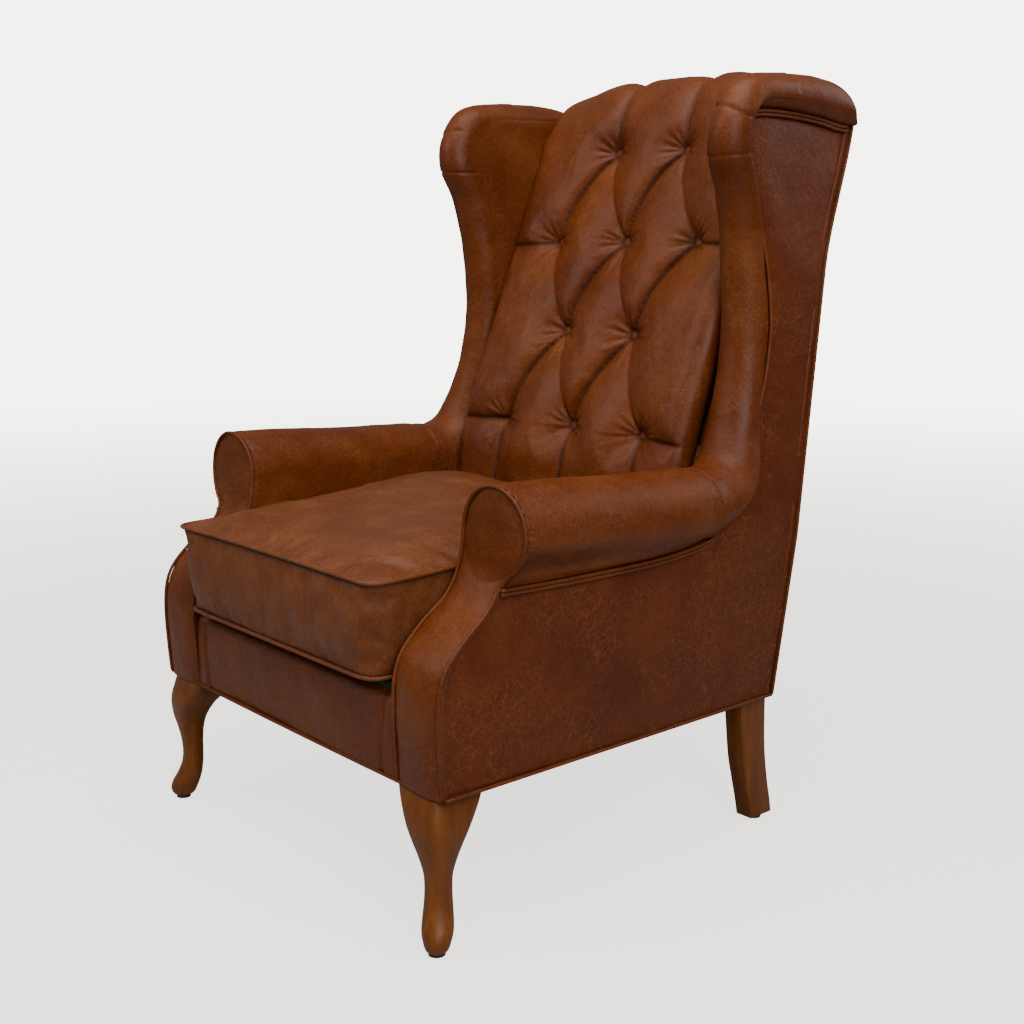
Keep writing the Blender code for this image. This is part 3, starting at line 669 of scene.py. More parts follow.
def panelFrontEdge(v):
    if v < 0.30:
        return facingEdge(v / 0.30)
    if v < 0.52:
        t = (v - 0.30) / 0.22
        depth = mix(facingEdge(1).x, 0.508, t)
        return Vector((depth, seamHeight(depth)))
    t = (v - 0.52) / 0.48
    # the wing's seam, stopping where the outside back begins
    return outerSeam(t * 0.96)


def panelBackEdge(v):
    height = mix(baseHeight, 0.300, v / 0.30) if v < 0.30 else mix(0.300, 0.480, (v - 0.30) / 0.22) if v < 0.52 \
        else mix(0.480, topBack + 0.003, (v - 0.52) / 0.48)
    return Vector((backFace(height) + 0.0015, height))


def panelPoint(u, v):
    spot = panelFrontEdge(v).lerp(panelBackEdge(v), u)
    dip = panel["edge"] * math.exp(-14 * u) - 0.0023 * max(smooth(0.85, 1.0, u), smooth(0.06, 0.0, v))
    belly = panel["crown"] * math.sin(math.pi * u) ** 0.7 * smooth(0.0, 0.10, v) * smooth(1.0, 0.8, v)
    return at(panelFace(spot.y) - 0.0035 + belly - dip, spot.x, spot.y)


def panelRelief(u, v, place):
    return wobble(place, 7, 0.0022, 4.0) + wobble(place, 24, 0.0009, 8.0)


bm = gridPad(panel["across"], panel["along"], panelPoint, lambda u, v: panelPoint(u, v) - Vector((0.010, 0, 0)))
addRelief(bm, panelRelief)
addPair("outside_panel_leather", bm, panelLeather, replaced=("outside_panel",), padding=0.7)

backPanel = {"across": 90, "along": 120, "crown": 0.0085}


def backPanelPoint(u, v):
    height = mix(baseHeight + 0.0005, 1.1125, v)
    half = panelFace(height) - 0.0006
    bulge = backPanel["crown"] * (math.sin(math.pi * u) * math.sin(math.pi * v)) ** 0.6
    edge = 0.0035 * math.exp(-18 * min(u, 1 - u, 1 - v))
    return at(mix(-half, half, u), backFace(height) - 0.003 + bulge - edge, height)


bm = gridPad(backPanel["across"], backPanel["along"], backPanelPoint,
             lambda u, v: Vector((0, 0.008 if v > 2 else -0.010, 0)) + backPanelPoint(u, v))
addRelief(bm, lambda u, v, place: wobble(place, 6, 0.0028, 6.0) + wobble(place, 22, 0.0009, 9.0))
addPiece("outside_back_leather", bm, panelLeather, replaced=("outside_back",), padding=0.7)

border = {"across": 110, "along": 34, "crown": 0.0045, "top": 0.3400}


def borderPoint(u, v):
    x = mix(-armInside - 0.001, armInside + 0.001, u)
    height = mix(baseHeight + 0.0005, border["top"], v)
    bulge = border["crown"] * (math.sin(math.pi * v)) ** 0.6
    depth = 0.002 - bulge + 0.006 * math.exp(-12 * min(u, 1 - u)) * 0.5
    depth += 0.012 * smooth(0.90, 1.0, v)
    return at(x, depth, height)


def borderRelief(u, v, place):
    lift = wobble(place, 9, 0.0030, 2.5) + wobble(place, 26, 0.0012, 1.2)
    for side in (-1, 1):
        pleat = place.x - side * (0.236 + 0.010 * v)
        lift -= 0.0030 * math.exp(-(pleat / 0.0030) ** 2)
        lift += 0.0012 * smooth(0, 0.006, side * pleat)
    return lift


bm = gridPad(border["across"], border["along"], borderPoint, lambda u, v: borderPoint(u, v) + Vector((0, 0.011 if v < 0.95 else 0.009, 0)))
addRelief(bm, borderRelief)
addPiece("front_border_leather", bm, leather, replaced=("front_border",), padding=0.6)
print("outside panels, back and border made")

# ---- piping on the frame ----
piping = {"radius": 0.0027, "double": 0.0056}


def pipingOn(name, lines, radius=piping["radius"], mirror=True, material=None):
    bm = bmesh.new()
    for points in lines:
        addTube(bm, points, radius)
    if mirror:
        return addPair(name, bm, material or leather)
    return addPiece(name, bm, material or leather)


def seamLine(low, high, count, drop, out):
    # along the wing's outside seam between rows low and high, drop below it and out from the panel
    points = []
    for i in range(count + 1):
        v = mix(low, high, i / count)
        spot, ahead = outerSeam(v), outerSeam(min(1, v + 0.01)) - outerSeam(max(0, v - 0.01))
        side = Vector((ahead.y, -ahead.x)).normalized()
        place = spot + side * drop
        points.append(at(panelFace(place.y) + out, place.x, place.y))
    return points


underRoll = [[at(panelFace(0.47) + 0.0012, depth, seamHeight(depth) - drop)
              for depth in [mix(0.099, 0.508, i / 60) for i in range(61)]] for drop in (0.0012, 0.0012 + piping["double"])]
underRoll[0] += seamLine(0.006, 0.96, 220, 0.0012, 0.0006)
underRoll[1] += seamLine(0.006, 0.10, 30, 0.0012 + piping["double"], 0.0006)
pipingOn("seam_piping", underRoll)
pipingOn("wing_top_piping", [seamLine(0.56, 0.96, 110, 0.0012 + piping["double"], 0.0004)])

edgeHeights = [mix(baseHeight + 0.003, topBack + 0.006, i / 60) for i in range(61)]
pipingOn("back_edge_piping", [[at(panelFace(height) - 0.0005, backFace(height) + 0.0005, height)
                               for height in edgeHeights]])
baseLine = [at(-halfWidth + 0.0015, 0.002, baseHeight + 0.0027), at(halfWidth - 0.0015, 0.002, baseHeight + 0.0027)]
pipingOn("base_piping_front", [[baseLine[0].lerp(baseLine[1], i / 40) - Vector((0, 0.003 * math.sin(math.pi * i / 40), 0))
                                for i in range(41)]], mirror=False)
pipingOn("base_piping_side", [[at(halfWidth + 0.0008, mix(0.004, 0.663, i / 40), baseHeight + 0.0027) for i in range(41)]])
pipingOn("base_piping_back", [[at(mix(-0.370, 0.370, i / 40), 0.6643, baseHeight + 0.0027) for i in range(41)]], mirror=False)
print("piping sewn on")

# ---- deep-buttoned inside back ----
tufting = {"across": 204, "along": 376, "halfBack": 0.2675, "buttonDepth": 0.0445, "creaseDepth": 0.0265, "softCrease": 0.0115, "bow": 0.012,
           "halfWidth": 0.0735, "edgeRoll": 0.040, "pucker": 0.0023, "puckerCount": 13, "blend": 0.0035}
backProfile = smoothPath(((0.524, 0.352), (0.5245, 0.430), (0.5270, 0.520), (0.5400, 0.618), (0.5995, 0.770),
                          (0.6615, 0.924), (0.7225, 1.077), (0.7440, 1.130), (0.7710, 1.175), (0.8000, 1.2000),
                          (0.8310, 1.2060), (0.8560, 1.1900), (0.8670, 1.1600), (0.8590, 1.104)), 24)
profileSteps = [backProfile(i / 800) for i in range(801)]
profileReach = backProfile.total


def reachAt(height):
    # distance along the profile to this height on its front side
    for i, spot in enumerate(profileSteps):
        if spot.y >= height:
            return i / 800 * profileReach
    return profileReach


buttonNodes = [f"back_button_{i:02d}" for i in range(1, 11)]
buttonSpots = []
for node in buttonNodes:
    low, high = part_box(node)
    centre = (low + high) / 2
    buttonSpots.append((centre.x, reachAt(min((1.077, 0.924, 0.772, 0.619), key=lambda z: abs(z - centre.z)))))
rowReach = sorted({spot[1] for spot in buttonSpots}, reverse=True)
topRow, secondRow, thirdRow, bottomRow = [sorted(x for x, s in buttonSpots if s == r) for r in rowReach]
folds = []  # (start, end, depth at the start, in the middle and at the end, is it a soft one)
depths = (tufting["buttonDepth"], tufting["creaseDepth"])
for upper, lower, high, low in ((topRow, secondRow, *rowReach[:2]), (secondRow, thirdRow, *rowReach[1:3]),
                                (thirdRow, bottomRow, *rowReach[2:])):
    for a in upper:
        for b in lower:
            if abs(a - b) < 0.12:
                folds.append(((a, high), (b, low), depths[0], depths[1] if b < a else tufting["softCrease"], depths[0], b > a))
for a in topRow:
    folds.append(((a, rowReach[0]), (a * 0.97, rowReach[0] + 0.27), depths[0], 0.0185, 0.0100, False))
for row, reach in ((secondRow, rowReach[1]), (bottomRow, rowReach[3])):
    for a in (row[0], row[-1]):
        folds.append(((a, reach), (math.copysign(0.285, a), reach - 0.006), depths[0], 0.0165, 0.012, False))
for a in bottomRow:
    folds.append(((a, rowReach[3]), (a * 1.04, 0.0), depths[0], 0.0200, 0.012, False))


def foldDepth(x, reach):
    # the sharp folds bow up and towards -X
    # how far the leather is drawn in here, and how much painted shade the sharp folds get
    total, shade, deepest = 0.0, 0.0, 0.0
    for (ax, ay), (bx, by), first, middle, last, gentle in folds:
        dx, dy = bx - ax, by - ay
        length = math.hypot(dx, dy)
        t = ((x - ax) * dx + (reach - ay) * dy) / length ** 2
        t = min(1.0, max(0.0, t))
        bow = 0.0 if gentle or abs(dx) < 0.3 * abs(dy) or dy == 0 or abs(dx) > abs(dy) else tufting["bow"] * 4 * t * (1 - t)
        px, py = ax + dx * t + bow * dy / length - x, ay + dy * t - bow * dx / length - reach
        away = math.hypot(px, py)
        if away > tufting["halfWidth"]:
            continue
        ends = abs(2 * t - 1) ** 2.4
        depth = mix(middle, first if t < 0.5 else last, ends)
        below = py > 0 if abs(dx) > 0.3 * abs(dy) or abs(dy) < 1e-6 else False
        power = 1.45 if gentle else 1.75 if below else 2.5
        hollow = depth * (1 - (1 - (1 - away / tufting["halfWidth"]) ** power) ** (1 / power))
        if not gentle:
            # painted shade: a dark line along each sharp fold, fading towards its lower end
            shade = max(shade, math.exp(-(away / 0.0042) ** 2) * smooth(0.95, 0.45, t))
        total += math.exp(hollow / tufting["blend"]) - 1
        deepest = max(deepest, hollow)
    soft = tufting["blend"] * math.log(total + 1.0)
    return min(max(soft, deepest), deepest + 0.0022), shade


backCache = {}


def backFold(u, v):
    key = (round(u, 5), round(v, 5))
    if key not in backCache:
        x, reach = mix(-tufting["halfBack"], tufting["halfBack"], u), v * profileReach
        wander = Vector((x * 9, reach * 9, 3.0))
        sway = 0.0022 * noise.noise(wander)
        backCache[key] = foldDepth(x + sway, reach + 0.002 * noise.noise(wander + Vector((5, 0, 0))))
    return backCache[key]


def backPoint(u, v):
    spot = backProfile(v)
    x, reach = mix(-tufting["halfBack"], tufting["halfBack"], u), v * profileReach
    ahead = backProfile(min(1, v + 0.004)) - backProfile(max(0, v - 0.004))
    square = Vector((ahead.y, -ahead.x)).normalized()
    turn = smooth(1.10, 1.18, spot.y) if spot.x < 0.80 else 1.0
    inward = Vector((1, 0)).lerp(square, turn).normalized()
    depth = backFold(u, v)[0]
    edge = max(0.0, abs(x) - (tufting["halfBack"] - tufting["edgeRoll"])) / tufting["edgeRoll"]
    roll = 0.030 * (1 - math.sqrt(max(0.0, 1 - min(1.0, edge) ** 2.2))) * (1 - 0.5 * smooth(1.05, 1.11, spot.y))
    depth = max(depth, roll) + 0.25 * min(depth, roll)
    for bx, by in buttonSpots:
        px, py = x - bx, reach - by
        away = math.hypot(px, py)
        if 0.006 < away < 0.07:
            angle = math.atan2(py, px)
            strength = tufting["pucker"] * math.exp(-((away - 0.020) / 0.020) ** 2) * (0.65 + 0.35 * math.sin(angle))
            depth += strength * math.cos(tufting["puckerCount"] * angle + 5 * noise.noise(Vector((bx * 40, by * 40, angle))))
    place = at(x, spot.x, spot.y)
    depth -= wobble(place, 9, 0.0022, 1.1) + wobble(place, 26, 0.0012, 4.4) + wobble(place, 60, 0.0004, 2.2)
    spot = spot + inward * depth
    arch = 0.024 * smooth(0.10, 0.262, abs(x)) * smooth(1.08, 1.17, spot.y)
    return at(x, spot.x, spot.y - arch)


def backRear(u, v):
    spot = backProfile(v)
    x = mix(-0.264, 0.264, u)
    ahead = backProfile(min(1, v + 0.004)) - backProfile(max(0, v - 0.004))
    square = Vector((ahead.y, -ahead.x)).normalized()
    inner = spot + Vector((1, 0)).lerp(square, smooth(1.10, 1.18, spot.y) if spot.x < 0.80 else 1.0).normalized() * mix(0.056, 0.042, smooth(1.08, 1.16, spot.y))
    return at(x, inner.x, inner.y)


# painted shade for the inside back: dark lines along the sharp folds, and darkening in the deepest hollows round the
# buttons
def backShade(u, v):
    depth, shade = backFold(u, v)
    return max(0.55 * shade, 0.9 * smooth(0.026, 0.040, depth))


bm = gridPad(tufting["across"], tufting["along"], backPoint, backRear, backShade)
addPiece("inside_back_leather", bm, leather, replaced=("back_pad",), padding=0.85)

button = {"radius": 0.0120, "height": 0.0066, "shank": 0.014}
buttonDome = smoothPath(((0.0, 1.0), (0.35, 0.96), (0.68, 0.80), (0.92, 0.45), (1.0, 0.10), (0.90, -0.22), (0.55, -0.35)))
for index, (node, (x, reach)) in enumerate(zip(buttonNodes, buttonSpots)):
    bm = bmesh.new()
    profile = [buttonDome(i / 14) for i in range(15)]
    verts = [bm.verts.new((p.x * button["radius"], 0, p.y * button["height"])) for p in profile]
    last = bm.verts.new((0, 0, -button["shank"]))
    chain = [bm.edges.new(pair) for pair in zip([*verts], [*verts[1:], last])]
    bmesh.ops.spin(bm, geom=bm.verts[:] + chain, axis=(0, 0, 1), cent=(0, 0, 0), steps=36, angle=2 * math.pi,
                   use_merge=True)
    bmesh.ops.remove_doubles(bm, verts=bm.verts, dist=1e-5)
    for vert in bm.verts:
        ripple = 0.0003 * math.sin(9 * math.atan2(vert.co.y, vert.co.x) + index) * min(1.0, vert.co.to_2d().length / 0.010)
        vert.co.z += ripple
    spot = backProfile(reach / profileReach)
    seat = at(x, spot.x + tufting["buttonDepth"] - 0.0030, spot.y)
    lean = Matrix.Rotation(math.pi / 2 - math.atan(0.402) * 0.9 + 0.05 * noise.noise(Vector((index, 0.5, 0))), 4, "X")
    bmesh.ops.transform(bm, matrix=Matrix.Translation(seat) @ lean, verts=bm.verts)
    addPiece(f"leather_button_{index + 1:02d}", bm, leather, replaced=(node,))
print("inside back tufted")

# ---- seat cushion ----
cushion = {"halfTop": 0.2570, "halfBottom": 0.2470, "back": 0.508, "frontTop": -0.0225, "frontBottom": -0.0205,
           "farCorner": 0.0105, "nearCorner": 0.0030, "round": 0.0075, "topSeam": 0.4890, "topSeamBack": 0.5150, "bottomSeam": 0.3575, "crown": 0.020,
           "pressure": 2.0, "cap": 0.009, "cuts": 66, "rings": 12, "cord": 0.0031}


def topSeamAt(b):
    return mix(cushion["topSeam"], cushion["topSeamBack"], smooth(-1.0, 1.0, b))


def cushionPlan(a, b, rise):
    # a and b run from -1 to 1 across and front to back; rise is 0 at the bottom seam and 1 at the top
    half = mix(cushion["halfBottom"], cushion["halfTop"], rise)
    corner = max(0.0, abs(a) + abs(b) - 1.86) / 0.14
    pull = cushion["round"] * corner ** 2
    x = a * half - math.copysign(pull, a)
    ahead = cushion["farCorner"] if a < 0 else cushion["nearCorner"]
    front = mix(cushion["frontBottom"], cushion["frontTop"], rise) - ahead * rise * abs(a) ** 2.6
    depth = mix(front, cushion["back"], (b + 1) / 2) - math.copysign(pull, b)
    return x, depth


bm = bmesh.new()
bmesh.ops.create_cube(bm, size=2)
for axis, cuts in ((2, cushion["rings"]), (0, cushion["cuts"]), (1, cushion["cuts"])):
    along = [e for e in bm.edges if abs((e.verts[0].co - e.verts[1].co)[axis]) > 1e-4]
    bmesh.ops.subdivide_edges(bm, edges=along, cuts=cuts, use_grid_fill=True)
bm.verts.ensure_lookup_table()
pinned, topLoop, bottomLoop = [], [], []
for vert in bm.verts:
    a, b, c = vert.co
    rise = (c + 1) / 2
    x, depth = cushionPlan(a, b, rise)
    rim = abs(a) > 0.9999 or abs(b) > 0.9999
    height = mix(cushion["bottomSeam"], topSeamAt(b), rise)
    if abs(c) > 0.9999:
        dome = (1 - a ** 4) * (1 - b ** 4)
        if c > 0:
            height += cushion["crown"] * dome ** 0.75
        else:
            height -= 0.004 * dome
        if rim:
            pinned.append(vert.index)
    else:
        bulge = 0.004 * math.sin(math.pi * rise) ** 0.8
        away = Vector((a if abs(a) > 0.9999 else 0, b if abs(b) > 0.9999 else 0))
        if away.length:
            away.normalize()
            x += away.x * bulge * 0.5
            depth += away.y * bulge * (0.3 if b > 0 else 1.0)
    vert.co = at(x, depth, height)
bmesh.ops.recalc_face_normals(bm, faces=bm.faces)
mesh = bpy.data.meshes.new("seat_cushion")
bm.to_mesh(mesh)
bm.free()
seat = bpy.data.objects.new("seat_cushion", mesh)
bpy.context.scene.collection.objects.link(seat)
startPlaces = [v.co.copy() for v in mesh.vertices]
group = seat.vertex_groups.new(name="seams")
group.add(pinned, 1.0, "REPLACE")
cloth = seat.modifiers.new("stuffing", "CLOTH")
cloth.settings.quality = 6
cloth.settings.mass = 0.4
cloth.settings.tension_stiffness = 12
cloth.settings.compression_stiffness = 12
cloth.settings.bending_stiffness = 0.4
cloth.settings.shrink_min = -0.035
cloth.settings.vertex_group_mass = "seams"
cloth.settings.use_pressure = True
cloth.settings.uniform_pressure_force = cushion["pressure"]
cloth.settings.effector_weights.gravity = 0
cloth.collision_settings.use_collision = False
cloth.point_cache.frame_start = 1
cloth.point_cache.frame_end = 20
for step in range(1, 21):
    bpy.context.scene.frame_set(step)
swollen = bpy.data.meshes.new_from_object(seat.evaluated_get(bpy.context.evaluated_depsgraph_get()))
places = [v.co.copy() for v in swollen.vertices]
seat.modifiers.clear()
bpy.context.scene.frame_set(1)
for vert, start, place in zip(mesh.vertices, startPlaces, places):
    move = place - start
    reach = cushion["cap"]
    move *= reach * math.tanh(move.length / reach) / max(1e-9, move.length)
    vert.co = start + move
bpy.data.meshes.remove(swollen)
print("cushion filled")

bm = bmesh.new()
bm.from_mesh(mesh)
bpy.data.objects.remove(seat)
bpy.data.meshes.remove(mesh)
bmesh.ops.smooth_vert(bm, verts=[v for v in bm.verts if v.index not in set(pinned)], factor=0.4, use_axis_x=True,
                      use_axis_y=True, use_axis_z=True)
bmesh.ops.subdivide_edges(bm, edges=bm.edges, cuts=1, use_grid_fill=True, smooth=0.6)
bm.normal_update()
shading = bm.verts.layers.float.new("painted_shade")
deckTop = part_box("seat_deck")[1].z
sideLimit = armInside - 0.0015
backLimit = frontFace + 0.5105
for vert in bm.verts:
    co = vert.co
    depth = co.y - frontFace
    b = 2 * (depth + 0.0235) / (cushion["back"] + 0.0235) - 1
    seam = topSeamAt(max(-1.0, min(1.0, b)))
    onTop = co.z > seam + 0.002
    lift = wobble(co, 8, 0.0024, 2.0) + wobble(co, 21, 0.0013, 6.0)
    fromFront = depth - cushionPlan(max(-1, min(1, co.x / cushion["halfTop"])), -1, 1)[1]
    if onTop:
        # pulls in the leather along the front seam, and a sat-in hollow
        gather = math.exp(-max(0.0, fromFront) / 0.020) * (1 - math.exp(-max(0.0, fromFront) / 0.004))
        lift += 0.0009 * gather * smooth(0.02, 0.16, co.x) * math.sin(co.x * 520 + 6 * noise.noise(co * 25))
        lift -= 0.0060 * math.exp(-((co.x / 0.16) ** 2 + ((depth - 0.24) / 0.17) ** 2))
    else:
        lift += 0.0003 * math.sin(co.x * 300 + 5 * noise.noise(co * 22)) * math.exp(-abs(co.z - seam + 0.012) / 0.012) * (depth < 0.02)
    # painted shadow on the boxing just under the top seam and its piping
    shadowUnderSeam = math.exp(-(((co.z - seam) + 0.004) / 0.0035) ** 2)
    vert[shading] = 0.55 * shadowUnderSeam * (0.0 if onTop else 1.0)
    vert.co = co + vert.normal * lift
    vert.co.z = max(vert.co.z, deckTop + 0.0006)
    over = abs(vert.co.x) - sideLimit
    if over > -0.004:
        vert.co.x = math.copysign(sideLimit - 0.004 * math.exp(-(over + 0.004) / 0.004), vert.co.x)
    vert.co.y = min(vert.co.y, backLimit - 0.0018 if abs(vert.co.z - 0.4205) < 0.05 else backLimit)
seatPiece = addPiece("seat_cushion_leather", bm, seatLeather, "cushion", ("cushion_cover",), 0.8)


def cushionRing(rise, out):
    points = []
    for side in range(4):
        for i in range(70):
            t = -1 + 2 * i / 70
            a, b = ((t, -1), (1, t), (-t, 1), (-1, -t))[side]
            x, depth = cushionPlan(a, b, rise)
            x = math.copysign(min(abs(x) + out, sideLimit - cushion["cord"] + 0.0005), x)
            depth = min(depth + out * b, 0.5095)
            points.append(at(x, depth, topSeamAt(b) + 0.0005 if rise else cushion["bottomSeam"] - 0.0005))
    smoothed = points
    for turn in range(2):
        smoothed = [(smoothed[i - 1] + 2 * smoothed[i] + smoothed[(i + 1) % len(smoothed)]) / 4 for i in range(len(smoothed))]
    return smoothed


for name, rise, node in (("cushion_piping_top", 1, "cushion_top_piping"),
                         ("cushion_piping_bottom", 0, "cushion_bottom_piping")):
    bm = bmesh.new()
    addTube(bm, cushionRing(rise, 0.0034), cushion["cord"], True)
    addPiece(name, bm, seatLeather, "cushion", (node,))

core = {"inset": 0.010, "cuts": 10}
bm = bmesh.new()
bmesh.ops.create_cube(bm, size=2)
bmesh.ops.subdivide_edges(bm, edges=bm.edges, cuts=core["cuts"], use_grid_fill=True)
for vert in bm.verts:
    a, b, c = vert.co
    x, depth = cushionPlan(a, b, (c + 1) / 2)
    x, depth = x * (1 - core["inset"] / 0.26), mix(depth, 0.23, core["inset"] / 0.26)
    dome = (1 - a ** 4) * (1 - b ** 4)
    height = mix(cushion["bottomSeam"] + 0.004, cushion["topSeam"] - 0.004, (c + 1) / 2) + (0.020 * dome if c > 0.99 else 0)
    vert.co = at(x, depth, height)
bmesh.ops.smooth_vert(bm, verts=bm.verts, factor=0.5, use_axis_x=True, use_axis_y=True, use_axis_z=True)
addPiece("cushion_foam", bm, foam, "cushion", ("cushion_core",), 1.0, slotName="foam")

# zip at the back of the cushion: tape, two rows of teeth, and the slider with its pull
zipper = {"teeth": 150, "toothSize": (0.0016, 0.0012, 0.0030), "tape": 0.0125}
zipLow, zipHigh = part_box("cushion_zip")
zipMiddle = (zipLow.z + zipHigh.z) / 2
tapeFace = backLimit - 0.0006


def addBlock(bm, centre, size, bevel=0.0, segments=2):
    made = bmesh.ops.create_cube(bm, size=1)["verts"]
    bmesh.ops.scale(bm, vec=size, verts=made)
    bmesh.ops.translate(bm, vec=centre, verts=made)
    if bevel:
        edges = {e for v in made for e in v.link_edges}
        bmesh.ops.bevel(bm, geom=list(edges), offset=bevel, offset_type="OFFSET", segments=segments, profile=0.5,
                        affect="EDGES", material=-1)


bm = bmesh.new()
length = zipHigh.x - zipLow.x
addBlock(bm, Vector((0, tapeFace - 0.0006, zipMiddle)), (length, 0.0012, 2 * zipper["tape"]), 0.0004, 1)
addPiece("zip_tape", bm, zipTape, "cushion", ("cushion_zip",), slotName="zip_tape")
bm = bmesh.new()
for i in range(zipper["teeth"]):
    x = mix(zipLow.x + 0.004, zipHigh.x - 0.004, i / (zipper["teeth"] - 1))
    side = 1 if i % 2 else -1
    addBlock(bm, Vector((x, tapeFace + 0.0004, zipMiddle + side * 0.0009)), zipper["toothSize"])
addPiece("zip_teeth", bm, zinc, "cushion", slotName="steel", smoothAngle=30)

sliderLow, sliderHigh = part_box("zip_slider")
middle = (sliderLow + sliderHigh) / 2
bm = bmesh.new()
addBlock(bm, Vector((middle.x, tapeFace + 0.0024, zipMiddle)), (0.0115, 0.0026, 0.0092), 0.0009, 3)
addBlock(bm, Vector((middle.x, tapeFace + 0.0042, zipMiddle)), (0.0050, 0.0016, 0.0028), 0.0005, 2)
ring = [Vector((middle.x + 0.0026 * math.cos(t), tapeFace + 0.0042, zipMiddle - 0.0050 - 0.0038 * math.sin(t)))
        for t in [2 * math.pi * i / 24 for i in range(24)]]
addTube(bm, ring, 0.0007, True)
addBlock(bm, Vector((middle.x, tapeFace + 0.0042, zipMiddle - 0.0175)), (0.0062, 0.0012, 0.0180), 0.0005, 2)
addPiece("zip_slider_pull", bm, zinc, "zip_slider", ("zip_slider",), slotName="steel", smoothAngle=35)
print("cushion, piping and zip made")

# ---- deck under the cushion and cloth under the chair ----
deckLow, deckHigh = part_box("seat_deck")


def deckPoint(u, v):
    bulge = 0.004 * (math.sin(math.pi * u) * math.sin(math.pi * v)) ** 0.5
    place = Vector((mix(deckLow.x, deckHigh.x, u), mix(deckLow.y, deckHigh.y, v), deckHigh.z - 0.0045 + bulge))
    place.z += wobble(place, 14, 0.0006, 2.0)
    return place


bm = gridPad(60, 60, deckPoint, lambda u, v: deckPoint(u, v) - Vector((0, 0, 0.020)))
addPiece("deck_cloth", bm, blackCloth, replaced=("seat_deck",), padding=0.5, slotName="black_cloth")

coverLow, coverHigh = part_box("dust_cover")
bm = bmesh.new()
bmesh.ops.create_grid(bm, x_segments=60, y_segments=56, size=0.5)
for vert in bm.verts:
    a, b = vert.co.x, vert.co.y
    sag = 0.0010 * (math.cos(math.pi * a) * math.cos(math.pi * b)) ** 0.5 if abs(a) < 0.4999 and abs(b) < 0.4999 else 0
    vert.co = Vector((mix(coverLow.x, coverHigh.x, a + 0.5), mix(coverLow.y, coverHigh.y, b + 0.5), coverLow.z + 0.0004 - sag))
bmesh.ops.recalc_face_normals(bm, faces=bm.faces)
bmesh.ops.solidify(bm, geom=bm.faces[:], thickness=0.0005)
cover = addPiece("base_cloth", bm, blackCloth, replaced=("dust_cover",), slotName="black_cloth")

staple = {"spacing": 0.034, "size": 0.010, "wire": 0.0009}
bm = bmesh.new()
inset = 0.008
for axis in (0, 1):
    span = (coverHigh - coverLow)[axis] - 2 * inset
    count = int(span / staple["spacing"])
    for edgePlace in (coverLow[1 - axis] + inset, coverHigh[1 - axis] - inset):
        for i in range(1, count):
            centre = Vector((0, 0, coverLow.z - 0.0004))
            centre[axis] = coverLow[axis] + inset + span * i / count
            centre[1 - axis] = edgePlace
            size = [staple["wire"]] * 3
            size[axis] = staple["size"]
            addBlock(bm, centre, size)
addPiece("base_staples", bm, zinc, slotName="steel")
print("deck and base cloth fitted")

# ---- legs ----
frontLeg = {"sides": 56, "steps": 70}
frontLegSections = smoothPath([Vector(section) for section in (
    (0.0048, 0.0045, 0.0128, 0.0122, 2.0), (0.0085, 0.0048, 0.0185, 0.0160, 2.0), (0.0180, 0.0062, 0.0222, 0.0192, 2.0),
    (0.0300, 0.0105, 0.0228, 0.0218, 2.0), (0.0450, 0.0172, 0.0205, 0.0214, 2.0), (0.0650, 0.0228, 0.0178, 0.0197, 1.95),
    (0.0850, 0.0244, 0.0171, 0.0189, 1.88), (0.1070, 0.0237, 0.0186, 0.0202, 1.78), (0.1300, 0.0225, 0.0228, 0.0265, 1.66),
    (0.1480, 0.0228, 0.0290, 0.0335, 1.52), (0.1690, 0.0285, 0.0380, 0.0430, 1.36), (0.1865, 0.0390, 0.0475, 0.0505, 1.23),
    (0.2020, 0.0505, 0.0550, 0.0560, 1.13), (baseHeight - 0.0004, 0.0590, 0.0590, 0.0590, 1.06))], evenLength=False)


def loftRings(sides, rings):
    bm = bmesh.new()
    ring = bmesh.ops.create_circle(bm, cap_ends=False, radius=1, segments=sides)["verts"]
    for vert, place in zip(ring, rings[0]):
        vert.co = place
    edges = [e for e in bm.edges]
    cap = bmesh.ops.contextual_create(bm, geom=edges)["faces"]
    for places in rings[1:]:
        grown = bmesh.ops.extrude_edge_only(bm, edges=edges)["geom"]
        edges = [g for g in grown if isinstance(g, bmesh.types.BMEdge)
                 and all(v not in ring for v in g.verts)]
        old = {v: p for v, p in zip(ring, places)}
        new = []
        for vert in ring:
            other = next(e.other_vert(vert) for e in vert.link_edges if isinstance(e.other_vert(vert), bmesh.types.BMVert)
                         and e.other_vert(vert) in {w for g in edges for w in g.verts})
            other.co = old[vert]
            new.append(other)
        ring = new
    bmesh.ops.contextual_create(bm, geom=edges)
    return bm


def frontLegRing(t):
    height, setIn, halfDepth, halfWide, squareness = frontLegSections(t)
    inward, across = Vector((-1, 1, 0)).normalized(), Vector((1, 1, 0)).normalized()
    centre = at(0.355, 0.000, height) + inward * setIn
    ring = []
    for i in range(frontLeg["sides"]):
        angle = 2 * math.pi * i / frontLeg["sides"]
        c, s = math.cos(angle), math.sin(angle)
        reach = ((abs(c) + 1e-4) ** squareness + (abs(s) + 1e-4) ** squareness) ** (-1 / squareness)
        # the corners are eased
        soft = 1 - 0.045 * smooth(1.75, 1.1, squareness) * (math.exp(-(math.sin(2 * angle) / 0.16) ** 2))
        ring.append(centre + inward * (c * reach * soft * halfDepth) + across * (s * reach * soft * halfWide))
    return ring


rings = [frontLegRing(i / frontLeg["steps"]) for i in range(frontLeg["steps"] + 1)]
addPair("front_leg_turned", loftRings(frontLeg["sides"], rings), legWood, replaced=("front_leg",), slotName="leg_wood",
        smoothAngle=50)

